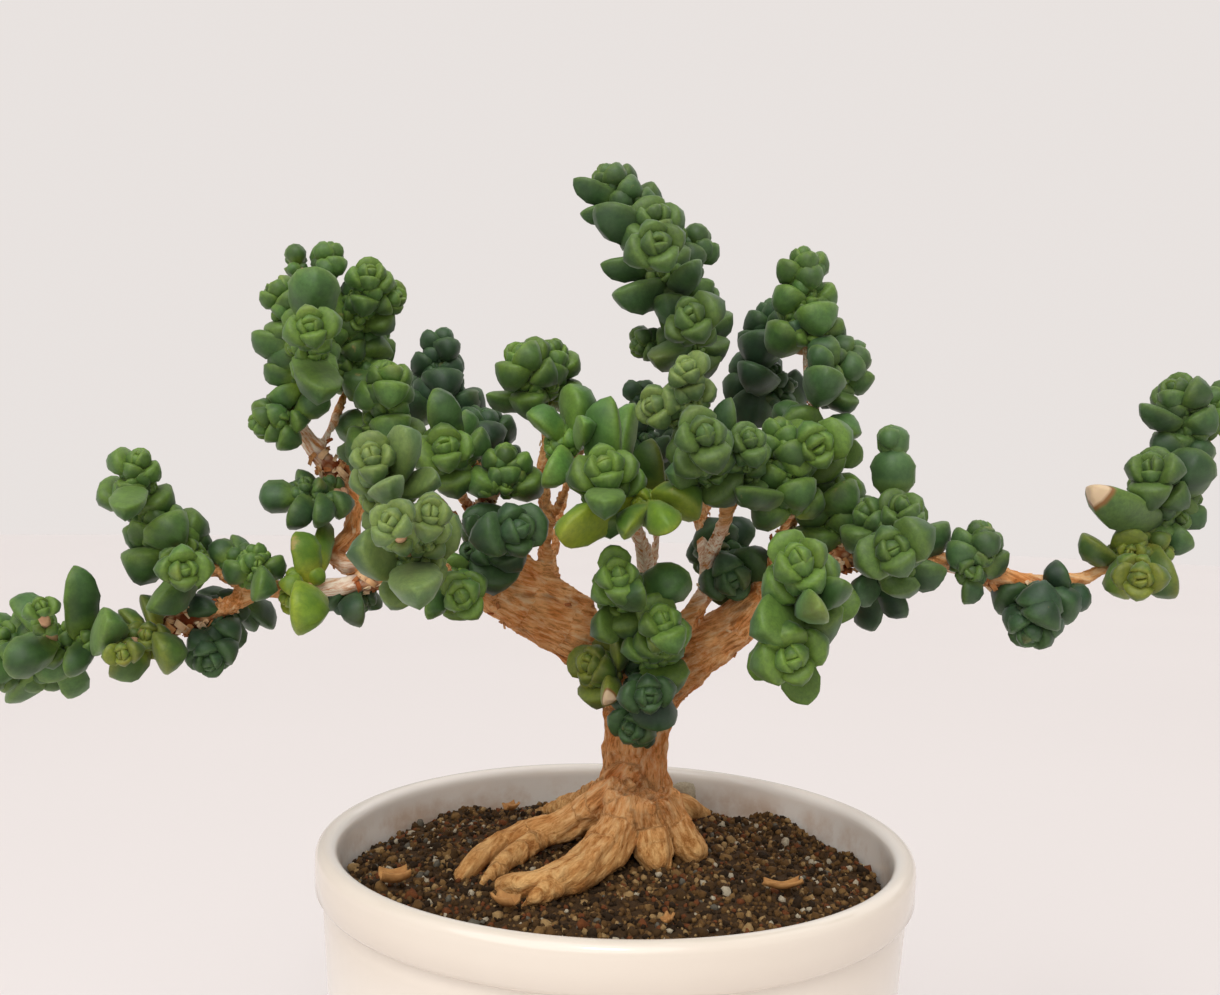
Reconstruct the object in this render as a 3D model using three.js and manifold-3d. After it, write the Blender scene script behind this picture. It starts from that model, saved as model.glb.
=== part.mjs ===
import * as THREE from "three";
import Module from "manifold-3d";

// A small succulent tree, astridia velutina, trained as a bonsai in a glazed pot.
// Millimetres, +Z up, +X to the right of the view, +Y away from it.
// The middle of the pot's underside is the origin.

// The pot: a round one with a smooth band under its lip
const POT_WIDTH = 110;
const POT_HEIGHT = 95;
const RIM_WALL = 4;
const BAND_DEEP = 8.5;
const BAND_STEP = 1;
const FOOT_WIDTH = 94;
const FLOOR_THICK = 5;
const POT_SIDES = 28;
const DRAIN_HOLES = 5;
const DRAIN_WIDE = 9;
const DRAIN_OUT = 24;

// The soil, and the room that is kept between one piece and the next
const SOIL_LEVEL = 89;
const SOIL_SIDES = 24;
const GAP = 0.3;

// Ridges along the bark, as a part of the thickness
const RIDGE_THICK = 0.07;
const RIDGE_THIN = 0.04;

// The leaves: their thickness as a part of their width, the length from which one is large,
// and how close two may sit, as a part of their mean width
const LEAF_FAT = 0.8;
const LARGE_LEAF = 11;
const STEM_THICK = 2.2;
const CROWDED = 0.87;

// Points closer together than this are merged
const MERGE = 0.15;

const CREAM_GLAZE = 0xece4d8;
const DARK_SOIL = 0x3a2c1e;
const BARK = 0x8a5a2e;
const LEAF_COLOURS = {
  mid: 0x4c7a4a,
  pale: 0x6c9160,
  dark: 0x35553a,
  warm: 0x5d8a3e,
  bright: 0x6f9a3a,
  tall: 0x5d8552,
};

// The camera that took the photo, found from the ellipse of the pot's rim: where it stands in
// millimetres, its focal length and the photo's middle in pixels, how far it looks down and leans.
const EYE = [-2.7, -230, 163.5];
const FOCAL_PIXELS = 1231;
const PHOTO_MIDDLE = [610, 497.5];
const LOOK_DOWN = 1.4 * Math.PI / 180;
const LEAN = 1.5 * Math.PI / 180;
const STEP = 0.5;

function toStep(value) {
  return Math.round(value / STEP) * STEP;
}

// The line of sight through a pixel of the photo
function sight(px, py) {
  const x = px - PHOTO_MIDDLE[0];
  const y = py - PHOTO_MIDDLE[1];
  const right = (x * Math.cos(LEAN) + y * Math.sin(LEAN)) / FOCAL_PIXELS;
  const up = (x * Math.sin(LEAN) - y * Math.cos(LEAN)) / FOCAL_PIXELS;
  return [
    right,
    Math.cos(LOOK_DOWN) + up * Math.sin(LOOK_DOWN),
    up * Math.cos(LOOK_DOWN) - Math.sin(LOOK_DOWN),
  ];
}

// The place on that line at a depth, which is its y
function at(px, py, depth) {
  const [x, y, z] = sight(px, py);
  const far = (depth - EYE[1]) / y;
  return [toStep(EYE[0] + far * x), toStep(depth), toStep(EYE[2] + far * z)];
}

// The place on that line at a height, for roots that lie on the soil
function onGround(px, py, height) {
  const [, y, z] = sight(px, py);
  return at(px, py, toStep(EYE[1] + (height - EYE[2]) / z * y));
}

// How long a span of pixels is, halfway between two depths
function spanAt(pixels, near, far) {
  return toStep(pixels * ((near + far) / 2 - EYE[1]) / FOCAL_PIXELS);
}

// The limbs, roots last, as they were read off the photo by eye. A row of a limb that is seen is
// its pixel, its depth and half its thickness in millimetres. A root's row has its height in
// place of the depth. The two roots at the back aren't seen: their rows are x, y, z and the same.
const LIMB_PICKS = [
  {
    name: "trunk", sides: 11,
    seen: [
      [633, 822, 17, 8.6], [633, 800, 15, 7.4], [633, 775, 14, 6.4], [634, 745, 13, 6.1],
      [637, 715, 12.5, 6.5], [642, 688, 12, 7.6], [640, 668, 11, 6.6],
    ],
  },
  {
    name: "left_limb", sides: 8,
    seen: [
      [642, 692, 12, 6.4], [600, 650, 9, 5.9], [560, 628, 7, 5.5], [522, 605, 4, 5.3],
      [492, 588, 1, 4.9], [468, 572, -2, 3.6],
    ],
  },
  {
    name: "left_limb_upper", sides: 4,
    seen: [
      [606, 640, 9, 2.6], [585, 603, 7, 1.9], [556, 587, 6, 1.6], [528, 566, 4, 1.7],
      [505, 548, 2, 2],
    ],
  },
  {
    name: "right_limb", sides: 8,
    seen: [
      [644, 694, 12, 6.4], [676, 668, 10, 5.6], [708, 645, 7, 4.9], [738, 622, 4, 4.4],
      [764, 592, 2, 3.6], [800, 575, 0, 2.9], [840, 556, -2, 2.6],
    ],
  },
  {
    name: "right_reach", sides: 4,
    seen: [
      [836, 556, -2, 2.4], [885, 557, -6, 2.2], [945, 563, -9, 2.1], [990, 575, -9, 2.1],
      [1035, 584, -8, 1.8], [1085, 580, -7, 1.5], [1108, 566, -6, 1.4],
    ],
  },
  {
    name: "left_reach", sides: 4,
    seen: [
      [478, 572, -2, 3], [430, 572, -6, 2.4], [385, 578, -9, 2.2], [340, 586, -12, 1.9],
      [290, 590, -15, 1.7], [245, 588, -17, 1.6],
    ],
  },
  {
    name: "left_low", sides: 4,
    seen: [
      [262, 588, -16, 1.6], [225, 607, -18, 1.8], [190, 621, -19, 2.1], [150, 632, -20, 1.7],
      [114, 643, -21, 1.4],
    ],
  },
  {
    name: "left_up", sides: 4,
    seen: [
      [250, 588, -17, 1.5], [222, 572, -17, 1.3], [201, 565, -17, 1.2],
    ],
  },
  {
    name: "high_left", sides: 4,
    seen: [
      [392, 577, -8, 1.9], [345, 566, -6, 2], [330, 556, -5, 2.1], [352, 532, -4, 2],
      [356, 505, -3, 1.9], [338, 480, -3, 2.1], [317, 452, -3, 1.9], [302, 430, -3, 1.7],
      [298, 408, -5, 1.5], [300, 390, -8, 1.3],
    ],
  },
  {
    name: "high_left_back", sides: 3,
    seen: [
      [318, 452, -3, 1.2], [335, 420, 0, 1.1], [350, 378, 4, 1],
    ],
  },
  {
    name: "inner_left", sides: 4,
    seen: [
      [490, 580, 0, 2.2], [476, 548, -2, 1.9], [480, 520, -3, 1.7], [486, 494, -4, 1.4],
      [474, 464, -4, 1.2], [468, 458, -5, 1],
    ],
  },
  {
    name: "inner_left_back", sides: 3,
    seen: [
      [480, 520, -3, 1.4], [454, 488, 4, 1.2], [436, 450, 13, 1.1], [439, 416, 18, 1],
    ],
  },
  {
    name: "inner_left_side", sides: 3,
    seen: [
      [484, 500, -4, 1.1], [488, 480, 4, 1], [482, 466, 11, 0.9],
    ],
  },
  {
    name: "mid_left", sides: 3,
    seen: [
      [470, 540, -2, 1.2], [440, 500, -4, 1.2], [408, 472, -5, 1.1], [390, 448, -5, 1],
    ],
  },
  {
    name: "top_left", sides: 4,
    seen: [
      [548, 610, 6, 1.9], [545, 560, 6, 1.6], [545, 510, 5, 1.4], [542, 470, 5, 1.2],
      [546, 430, 5, 1], [545, 406, 5, 0.9],
    ],
  },
  {
    name: "top_left_side", sides: 3,
    seen: [
      [546, 535, 6, 1.1], [560, 500, 3, 1.1], [574, 470, 0, 1], [577, 450, -2, 0.9],
    ],
  },
  {
    name: "front_left", sides: 4,
    seen: [
      [470, 575, -3, 2], [440, 572, -16, 1.7], [420, 568, -28, 1.5], [411, 567, -36, 1.2],
    ],
  },
  {
    name: "front_left_high", sides: 3,
    seen: [
      [430, 568, -22, 1.1], [408, 535, -29, 1.1], [389, 500, -34.5, 1],
    ],
  },
  {
    name: "centre", sides: 4,
    seen: [
      [645, 668, 9, 2.6], [648, 625, 4, 2.1], [650, 585, 0, 1.9], [643, 548, -4, 1.7],
      [633, 522, -8, 1.4], [639, 500, -11, 1.2],
    ],
  },
  {
    name: "centre_head", sides: 3,
    seen: [
      [634, 525, -8, 1], [615, 512, -11, 0.9], [606, 502, -13, 0.8],
    ],
  },
  {
    name: "centre_right", sides: 4,
    seen: [
      [662, 665, 9, 2.6], [688, 622, 5, 2.2], [705, 590, 3, 1.9], [708, 558, 1, 1.7],
      [722, 530, -2, 1.5], [733, 500, -6, 1.3], [735, 470, -8, 1.1],
    ],
  },
  {
    name: "centre_bright", sides: 3,
    seen: [
      [728, 515, -4, 1], [710, 480, -9, 1], [696, 440, -12, 0.9], [691, 416, -15, 0.8],
    ],
  },
  {
    name: "crown", sides: 4,
    seen: [
      [707, 575, 3, 1.5], [700, 520, 10, 1.4], [702, 460, 14, 1.3], [700, 400, 12, 1.2],
      [693, 365, 6, 1.1], [692, 351, 3, 1],
    ],
  },
  {
    name: "centre_column", sides: 3,
    seen: [
      [764, 588, 2, 1.5], [775, 550, -4, 1.3], [789, 513, -9, 1.1],
    ],
  },
  {
    name: "centre_deep", sides: 3,
    seen: [
      [645, 620, 4, 1.2], [656, 560, 1, 1], [660, 506, -2, 0.9],
    ],
  },
  {
    name: "centre_back", sides: 3,
    seen: [
      [700, 520, 10, 1.1], [670, 485, 15, 1], [643, 454, 18, 0.9],
    ],
  },
  {
    name: "centre_cross", sides: 3,
    seen: [
      [733, 500, -6, 1], [722, 480, -11, 0.9], [712, 472, -14, 0.9],
    ],
  },
  {
    name: "centre_dark", sides: 3,
    seen: [
      [705, 575, 3, 1], [716, 566, 9, 0.9],
    ],
  },
  {
    name: "inner_stem", sides: 3,
    seen: [
      [485, 500, -4, 0.9], [492, 494, -7, 0.8],
    ],
  },
  {
    name: "inner_pair", sides: 3,
    seen: [
      [480, 566, -2, 1.2], [485, 549, -6, 1],
    ],
  },
  {
    name: "left_elbow", sides: 3,
    seen: [
      [462, 574, -4, 1.2], [456, 580, -8, 1],
    ],
  },
  {
    name: "front_low", sides: 3,
    seen: [
      [780, 596, -8, 1.1], [780, 612, -16, 1],
    ],
  },
  {
    name: "right_twig", sides: 3,
    seen: [
      [968, 569, -9, 1.2], [974, 564, -12, 0.9],
    ],
  },
  {
    name: "right_hanging", sides: 3,
    seen: [
      [1040, 584, -8, 1.1], [1038, 591, -8, 0.9],
    ],
  },
  {
    name: "right_high", sides: 4,
    seen: [
      [766, 590, 3, 1.9], [785, 535, 4, 1.6], [800, 480, 4, 1.4], [813, 440, 3, 1.3],
      [815, 410, 2, 1.2], [808, 375, 3, 1.1], [807, 344, 3, 1],
    ],
  },
  {
    name: "right_high_back", sides: 3,
    seen: [
      [800, 480, 4, 1.1], [786, 440, 12, 1.1], [776, 416, 18, 1],
    ],
  },
  {
    name: "right_inner", sides: 3,
    seen: [
      [834, 560, -1, 1.2], [840, 540, 1, 1.1],
    ],
  },
  {
    name: "right_column", sides: 3,
    seen: [
      [890, 557, -6, 1.2], [893, 530, -5, 1.1], [893, 506, -8, 1],
    ],
  },
  {
    name: "front_right", sides: 4,
    seen: [
      [770, 588, 2, 1.8], [785, 598, -10, 1.5], [797, 606, -22, 1.2],
    ],
  },
  {
    name: "trunk_twig_upper", sides: 3,
    seen: [
      [622, 645, 8, 1.4], [618, 626, -2, 1.1], [621, 606, -8, 0.9],
    ],
  },
  {
    name: "trunk_twig_middle", sides: 3,
    seen: [
      [640, 672, 8, 1.2], [648, 668, 0, 1], [655, 659, -5, 0.8],
    ],
  },
  {
    name: "root_left", sides: 5,
    ground: [
      [622, 790, 102, 3.6], [600, 806, 97.5, 3.6], [578, 817, 95, 3.2], [553, 829, 93, 2.9],
      [527, 834, 91.8, 2.5], [500, 846, 90.6, 2.2], [474, 866, 89.4, 1.6], [458, 879, 88.2, 1],
    ],
  },
  {
    name: "root_left_fork", sides: 4,
    ground: [
      [546, 834, 92.2, 1.7], [520, 853, 90.6, 1.6], [494, 873, 89.4, 1.2], [480, 885, 88.2, 0.8],
    ],
  },
  {
    name: "root_front", sides: 6,
    ground: [
      [630, 796, 101, 4.2], [618, 826, 95.5, 4.3], [602, 852, 92.6, 4.1], [580, 872, 91.2, 3.6],
      [550, 886, 90.4, 3], [520, 890, 89.6, 2.2], [498, 889, 88.3, 1.3],
    ],
  },
  {
    name: "root_front_fork", sides: 4,
    ground: [
      [556, 890, 90.2, 1.7], [536, 901, 89.5, 1.4], [520, 908, 88.2, 0.8],
    ],
  },
  {
    name: "root_middle", sides: 5,
    ground: [
      [644, 798, 101, 4.2], [650, 828, 95, 4], [655, 852, 91.5, 3.2], [659, 872, 89, 1.9],
    ],
  },
  {
    name: "root_right", sides: 5,
    ground: [
      [657, 796, 101, 3.4], [672, 820, 96, 3.1], [685, 842, 92.2, 2.6], [695, 860, 89.2, 1.8],
    ],
  },
  {
    name: "root_back", sides: 5,
    route: [
      [4, 17, 100, 3.6], [9, 24, 94, 3.2], [15, 31, 90.5, 2.4], [20, 36, 88.2, 1.4],
    ],
  },
  {
    name: "root_back_left", sides: 5,
    route: [
      [0, 17, 99, 3.4], [-6, 25, 93, 2.8], [-13, 32, 89.6, 1.8], [-17, 35, 88, 1.1],
    ],
  },
  {
    name: "back_twig", sides: 3,
    seen: [
      [700, 520, 10, 1.3], [706, 505, 20, 1.3], [700, 480, 28, 1.2], [692, 458, 31, 1],
    ],
  },
  {
    name: "back_twig_left", sides: 3,
    seen: [
      [556, 587, 6, 1.4], [552, 560, 18, 1.3], [560, 520, 28, 1.2], [566, 480, 32, 1],
    ],
  },
];

// The limbs in millimetres: x, y, z and half the thickness there
const LIMBS = LIMB_PICKS.map(({ name, sides, seen = [], ground = [], route = [] }) => ({
  name,
  sides,
  route: [
    ...seen.map(([px, py, depth, half]) => [...at(px, py, depth), half]),
    ...ground.map(([px, py, height, half]) => [...onGround(px, py, height), half]),
    ...route.map(([x, y, z, half]) => [toStep(x), toStep(y), toStep(z), half]),
  ],
}));

// The leafy heads, read in the same way. A stem is a row of places from its branch outwards.
// A shoot row is the pixel and depth where it starts and where it ends, its pairs of leaves,
// the pixels that its lowest and highest leaf span, and the turn of its first pair.
// A leaf row is the pixel and depth of its base and of its tip, and the pixels of its width.
const HEAD_PICKS = [
  {
    name: "leaves_left_end", look: "mid",
    stem: [[111, 643, -21], [60, 648, -22], [14, 648, -21]],
    shoots: [
      [50, 646, -24, 40, 606, -36, 1, 26, 18, 20], [14, 648, -20, -36, 638, -18, 2, 40, 28, 45],
    ],
    leaves: [
      [75, 646, -23, 75, 565, -27, 42], [92, 648, -22, 108, 620, -35, 44],
      [64, 648, -24, 3, 666, -33, 42], [52, 646, -22, 12, 598, -20, 38],
      [86, 648, -23, 64, 672, -30, 30], [60, 650, -20, 74, 696, -14, 36],
      [36, 650, -20, 6, 698, -13, 38],
    ],
  },
  {
    name: "leaves_left_low", look: "warm",
    stem: [[156, 634, -24], [138, 638, -25]],
    shoots: [
      [130, 644, -25, 124, 652, -35, 1, 22, 18, 30],
    ],
    leaves: [
      [144, 640, -25, 110, 676, -29, 40], [154, 638, -25, 168, 668, -30, 38],
      [144, 638, -24, 118, 612, -22, 22], [154, 632, -24, 142, 596, -20, 24],
    ],
  },
  {
    name: "leaves_left_hanging", look: "dark",
    stem: [[236, 602, -13], [216, 620, -15]],
    shoots: [
      [218, 620, -15, 208, 670, -23, 3, 34, 26, 30],
    ],
    leaves: [
      [238, 602, -12, 248, 628, -6, 34], [240, 602, -11, 270, 626, -4, 34],
      [230, 604, -12, 200, 598, -8, 28],
    ],
  },
  {
    name: "leaves_left_tip", look: "mid",
    stem: [],
    shoots: [
      [137, 502, -20, 134, 452, -25, 2, 36, 28, 10],
    ],
    leaves: [
      [134, 488, -23, 122, 510, -37, 34],
    ],
  },
  {
    name: "leaves_left_column", look: "mid",
    stem: [[198, 564, -17], [160, 540, -19], [139, 512, -20]],
    shoots: [
      [170, 548, -19, 144, 510, -22, 1, 44, 38, 45], [184, 558, -19, 180, 570, -36, 1, 36, 26, 15],
    ],
    leaves: [
      [190, 562, -18, 154, 606, -32, 44], [176, 552, -18, 166, 514, -16, 36],
      [150, 528, -19, 122, 530, -21, 38], [156, 536, -19, 140, 576, -20, 34],
      [186, 558, -17, 204, 530, -14, 32],
    ],
  },
  {
    name: "leaves_left_mid", look: "mid",
    stem: [[256, 574, -19], [236, 566, -18]],
    shoots: [
      [254, 572, -20, 253, 546, -20, 1, 30, 20, 15],
    ],
    leaves: [
      [236, 568, -18, 214, 544, -16, 30], [244, 568, -17, 232, 538, -12, 26],
      [256, 574, -20, 258, 592, -28, 32],
    ],
  },
  {
    name: "leaves_left_bright", look: "bright",
    stem: [[314, 588, -18], [298, 588, -18]],
    shoots: [],
    leaves: [
      [302, 588, -18, 297, 626, -27, 50], [304, 586, -18, 296, 530, -17, 38],
      [314, 586, -16, 324, 520, -5, 26],
    ],
  },
  {
    name: "leaves_left_under", look: "dark",
    stem: [[348, 595, -9], [362, 595, -8]],
    shoots: [],
    leaves: [
      [350, 594, -9, 326, 606, -12, 30], [352, 595, -9, 362, 620, -15, 30],
      [358, 594, -8, 383, 604, -4, 26],
    ],
  },
  {
    name: "leaves_high_left_front", look: "mid",
    stem: [[300, 384, -10], [310, 340, -12], [308, 292, -9]],
    shoots: [
      [304, 320, -11, 272, 284, -15, 1, 38, 26, 20], [310, 344, -14, 312, 326, -30, 1, 38, 26, 10],
      [306, 292, -6, 294, 254, -2, 1, 22, 18, 20], [312, 292, -6, 336, 246, -4, 1, 28, 24, 70],
    ],
    leaves: [
      [310, 324, -12, 317, 266, -22, 50], [308, 346, -12, 252, 332, -13, 38],
      [306, 352, -13, 326, 390, -25, 48], [300, 376, -11, 264, 366, -12, 28],
      [300, 384, -11, 268, 400, -10, 32],
    ],
  },
  {
    name: "leaves_high_left_right", look: "mid",
    stem: [[350, 372, 4], [354, 330, 3], [360, 300, 0]],
    shoots: [
      [358, 318, -2, 374, 266, -10, 2, 36, 26, 20], [362, 306, -2, 404, 294, -4, 1, 30, 24, 30],
      [356, 350, 4, 378, 330, 10, 1, 34, 30, 50],
    ],
    leaves: [
      [354, 340, 3, 380, 362, 8, 32],
    ],
  },
  {
    name: "leaves_high_left_side", look: "mid",
    stem: [[296, 416, -9], [284, 420, -9]],
    shoots: [
      [286, 420, -9, 252, 424, -12, 2, 30, 24, 20],
    ],
    leaves: [
      [294, 414, -9, 328, 392, -10, 28],
    ],
  },
  {
    name: "leaves_left_shoulder", look: "mid",
    stem: [[341, 494, -6.5], [302, 496, -9]],
    shoots: [],
    leaves: [
      [302, 496, -9, 260, 498, -10, 34], [308, 498, -9, 288, 524, -15, 32],
      [306, 494, -9, 296, 474, -5, 28], [322, 496, -9, 316, 522, -15, 28],
      [330, 498, -9, 344, 514, -11, 30],
    ],
  },
  {
    name: "leaves_back_left", look: "dark",
    stem: [],
    shoots: [
      [440, 412, 19, 438, 332, 18, 3, 46, 28, 20],
    ],
    leaves: [
      [444, 404, 20, 480, 392, 18, 34], [438, 402, 20, 412, 376, 24, 34],
    ],
  },
  {
    name: "leaves_mid_left", look: "mid",
    stem: [[388, 444, -5], [372, 436, 0]],
    shoots: [
      [388, 444, -5, 384, 362, -13, 3, 42, 30, 25],
    ],
    leaves: [
      [378, 440, -1, 344, 420, 6, 38], [376, 440, 0, 346, 460, 6, 38],
    ],
  },
  {
    name: "leaves_inner_left", look: "mid",
    stem: [[466, 458, -5], [448, 450, -5]],
    shoots: [
      [448, 462, -7, 446, 440, -15, 1, 38, 32, 15],
    ],
    leaves: [
      [444, 448, -4, 432, 390, -12, 42], [458, 450, -3, 466, 408, -4, 26],
      [462, 456, -5, 480, 432, -12, 32],
    ],
  },
  {
    name: "leaves_inner_left_back", look: "dark",
    stem: [],
    shoots: [
      [482, 462, 12, 488, 408, 14, 2, 36, 30, 20],
    ],
    leaves: [],
  },
  {
    name: "leaves_front_left_high", look: "pale",
    stem: [],
    shoots: [
      [388, 500, -34, 368, 452, -46, 2, 44, 30, 15],
    ],
    leaves: [
      [390, 494, -36, 404, 428, -46, 42], [390, 498, -36, 436, 476, -44, 34],
      [386, 494, -37, 386, 484, -55, 38],
    ],
  },
  {
    name: "leaves_front_left", look: "pale",
    stem: [[411, 566, -36.5], [412, 556, -44]],
    shoots: [
      [408, 558, -42, 394, 520, -64, 1, 38, 28, 70], [420, 556, -42, 430, 506, -57, 2, 36, 26, 20],
    ],
    leaves: [
      [410, 564, -38, 362, 546, -52, 54], [414, 560, -38, 454, 516, -43, 48],
      [411, 562, -40, 418, 590, -60, 52], [408, 556, -40, 386, 504, -43, 38],
      [408, 568, -36, 390, 604, -42, 34],
    ],
  },
  {
    name: "leaves_left_elbow", look: "mid",
    stem: [[452, 582, -10], [444, 588, -14]],
    shoots: [
      [454, 584, -10, 466, 600, -27, 2, 36, 28, 20],
    ],
    leaves: [
      [446, 588, -15, 424, 612, -25, 30],
    ],
  },
  {
    name: "leaves_inner_stem", look: "mid",
    stem: [[494, 492, -8], [508, 480, -9]],
    shoots: [
      [504, 486, -8, 508, 446, -11, 2, 36, 26, 20],
    ],
    leaves: [],
  },
  {
    name: "leaves_inner_pair", look: "dark",
    stem: [],
    shoots: [
      [486, 546, -7, 520, 520, -22, 1, 46, 38, 10],
    ],
    leaves: [
      [488, 544, -8, 468, 518, -14, 22], [490, 544, -7, 520, 556, -14, 40],
    ],
  },
  {
    name: "leaves_top_left", look: "mid",
    stem: [[545, 402, 5], [540, 384, 4]],
    shoots: [
      [543, 396, 5, 554, 338, 3, 2, 38, 32, 20], [540, 390, 3, 516, 348, -4, 2, 38, 32, 40],
    ],
    leaves: [
      [542, 398, 5, 486, 394, 1, 30],
    ],
  },
  {
    name: "leaves_centre_left", look: "mid",
    stem: [[580, 444, -4], [558, 448, -6]],
    shoots: [],
    leaves: [
      [572, 446, -4, 570, 382, -7, 46], [562, 446, -4, 526, 412, -9, 36],
      [562, 448, -5, 544, 482, -14, 36], [576, 450, -5, 584, 424, -20, 28],
    ],
  },
  {
    name: "leaves_centre_tall", look: "mid",
    stem: [[608, 492, -10], [620, 488, -10]],
    shoots: [],
    leaves: [
      [614, 486, -10, 612, 396, -15, 50], [618, 486, -9, 634, 402, -3, 40],
    ],
  },
  {
    name: "leaves_centre_head", look: "mid",
    stem: [],
    shoots: [
      [606, 500, -14, 606, 456, -25, 1, 42, 34, 10],
    ],
    leaves: [
      [604, 492, -16, 568, 468, -18, 32], [608, 492, -16, 644, 474, -19, 32],
      [606, 494, -18, 606, 502, -34, 40],
    ],
  },
  {
    name: "leaves_centre_long", look: "bright",
    stem: [[641, 496, -13], [650, 510, -16]],
    shoots: [],
    leaves: [
      [644, 500, -14, 558, 538, -26, 46], [648, 502, -14, 699, 508, -21, 50],
      [650, 510, -16, 626, 532, -30, 32], [651, 510, -16, 672, 530, -31, 36],
    ],
  },
  {
    name: "leaves_centre_behind", look: "dark",
    stem: [],
    shoots: [
      [642, 450, 18, 640, 382, 22, 2, 30, 20, 20],
    ],
    leaves: [],
  },
  {
    name: "leaves_centre_deep", look: "warm",
    stem: [[656, 506, -5], [666, 500, -5]],
    shoots: [],
    leaves: [
      [660, 500, -2, 652, 438, -8, 42], [662, 500, -1, 684, 470, 4, 30],
    ],
  },
  {
    name: "leaves_crown_tip", look: "mid",
    stem: [],
    shoots: [
      [634, 216, 3, 600, 166, 1, 2, 38, 30, 30],
    ],
    leaves: [
      [624, 204, 2, 572, 178, -2, 30], [624, 206, 2, 580, 212, -3, 28],
      [630, 212, 2, 648, 188, 1, 28],
    ],
  },
  {
    name: "leaves_crown_high", look: "mid",
    stem: [[676, 292, 2], [664, 262, 0], [650, 232, 0]],
    shoots: [
      [658, 250, 0, 656, 208, -8, 1, 42, 32, 25], [662, 262, -2, 654, 242, -24, 1, 42, 32, 20],
      [674, 284, 3, 702, 226, 4, 2, 34, 28, 10],
    ],
    leaves: [
      [650, 240, 0, 596, 206, -8, 46], [660, 262, -1, 600, 264, -8, 32],
      [672, 282, 0, 616, 292, -10, 44], [676, 290, 1, 692, 262, -16, 34],
    ],
  },
  {
    name: "leaves_crown_low", look: "mid",
    stem: [[692, 347, 3], [688, 318, 1]],
    shoots: [
      [691, 340, 0, 694, 318, -20, 1, 42, 32, 20], [690, 344, 3, 632, 342, 1, 2, 28, 22, 20],
    ],
    leaves: [
      [688, 322, 0, 668, 296, -10, 44], [690, 326, 2, 732, 314, 2, 34],
      [692, 336, 1, 726, 348, -4, 32], [690, 320, 3, 714, 288, 6, 28],
      [688, 344, 0, 654, 360, -11, 36],
    ],
  },
  {
    name: "leaves_centre_bright", look: "pale",
    stem: [],
    shoots: [
      [691, 412, -15, 686, 362, -25, 3, 34, 24, 20], [688, 414, -14, 644, 402, -19, 1, 32, 28, 40],
    ],
    leaves: [],
  },
  {
    name: "leaves_centre_cross", look: "mid",
    stem: [[708, 470, -14], [736, 474, -13]],
    shoots: [
      [706, 470, -15, 700, 430, -37, 2, 46, 34, 40], [740, 474, -13, 751, 436, -25, 2, 36, 26, 20],
    ],
    leaves: [
      [706, 472, -14, 674, 474, -24, 36], [728, 470, -13, 730, 398, -20, 34],
    ],
  },
  {
    name: "leaves_centre_column", look: "mid",
    stem: [],
    shoots: [
      [789, 510, -10, 780, 420, -14, 4, 38, 32, 20],
    ],
    leaves: [
      [786, 500, -13, 738, 488, -24, 32],
    ],
  },
  {
    name: "leaves_right_high_tip", look: "mid",
    stem: [],
    shoots: [
      [807, 340, 2, 803, 250, 0, 4, 40, 26, 20],
    ],
    leaves: [],
  },
  {
    name: "leaves_right_high_back", look: "dark",
    stem: [],
    shoots: [
      [784, 344, 13, 766, 302, 13, 2, 42, 34, 25],
    ],
    leaves: [
      [786, 344, 13, 738, 334, 12, 36], [790, 344, 11, 792, 322, -4, 32],
    ],
  },
  {
    name: "leaves_right_high_dark", look: "dark",
    stem: [[778, 412, 18], [776, 384, 15]],
    shoots: [
      [776, 404, 18, 740, 360, 22, 2, 44, 34, 30],
    ],
    leaves: [
      [778, 384, 14, 746, 362, 5, 38],
    ],
  },
  {
    name: "leaves_right_high_side", look: "mid",
    stem: [[817, 398, -0.5], [824, 376, -2]],
    shoots: [
      [826, 374, -1, 868, 354, 0, 2, 34, 30, 20],
    ],
    leaves: [
      [824, 404, -4, 828, 366, -14, 42], [822, 380, -3, 820, 346, -8, 28],
      [822, 392, -3, 860, 404, -4, 28],
    ],
  },
  {
    name: "leaves_right_high_low", look: "mid",
    stem: [[808, 436, -2], [822, 440, -3]],
    shoots: [
      [812, 444, -3, 814, 450, -18, 1, 40, 34, 30],
    ],
    leaves: [
      [810, 436, -2, 776, 404, 2, 32], [818, 438, -2, 862, 432, -5, 34],
      [822, 442, -2, 862, 460, 1, 30],
    ],
  },
  {
    name: "leaves_right_inner", look: "mid",
    stem: [],
    shoots: [
      [840, 536, 1, 822, 474, -2, 3, 46, 38, 25],
    ],
    leaves: [],
  },
  {
    name: "leaves_right_column", look: "tall",
    stem: [],
    shoots: [
      [893, 502, -8, 894, 428, -8, 2, 46, 40, 0],
    ],
    leaves: [],
  },
  {
    name: "leaves_right_cluster", look: "mid",
    stem: [[892, 562, -11], [894, 530, -10]],
    shoots: [
      [890, 548, -10, 864, 506, -13, 2, 38, 30, 20], [896, 540, -10, 908, 502, -18, 2, 38, 30, 40],
      [894, 556, -12, 895, 544, -31, 1, 44, 34, 20],
    ],
    leaves: [
      [896, 560, -11, 948, 572, -17, 44], [896, 546, -9, 948, 524, -8, 42],
    ],
  },
  {
    name: "leaves_right_under", look: "dark",
    stem: [[882, 574, -4], [890, 572, -4]],
    shoots: [],
    leaves: [
      [888, 574, -4, 908, 618, -6, 34], [886, 574, -3, 868, 630, 4, 34],
      [884, 574, -4, 858, 600, -10, 34],
    ],
  },
  {
    name: "leaves_front_right", look: "mid",
    stem: [[800, 606, -24], [808, 604, -27]],
    shoots: [
      [802, 602, -26, 800, 550, -40, 2, 48, 38, 25],
    ],
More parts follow.
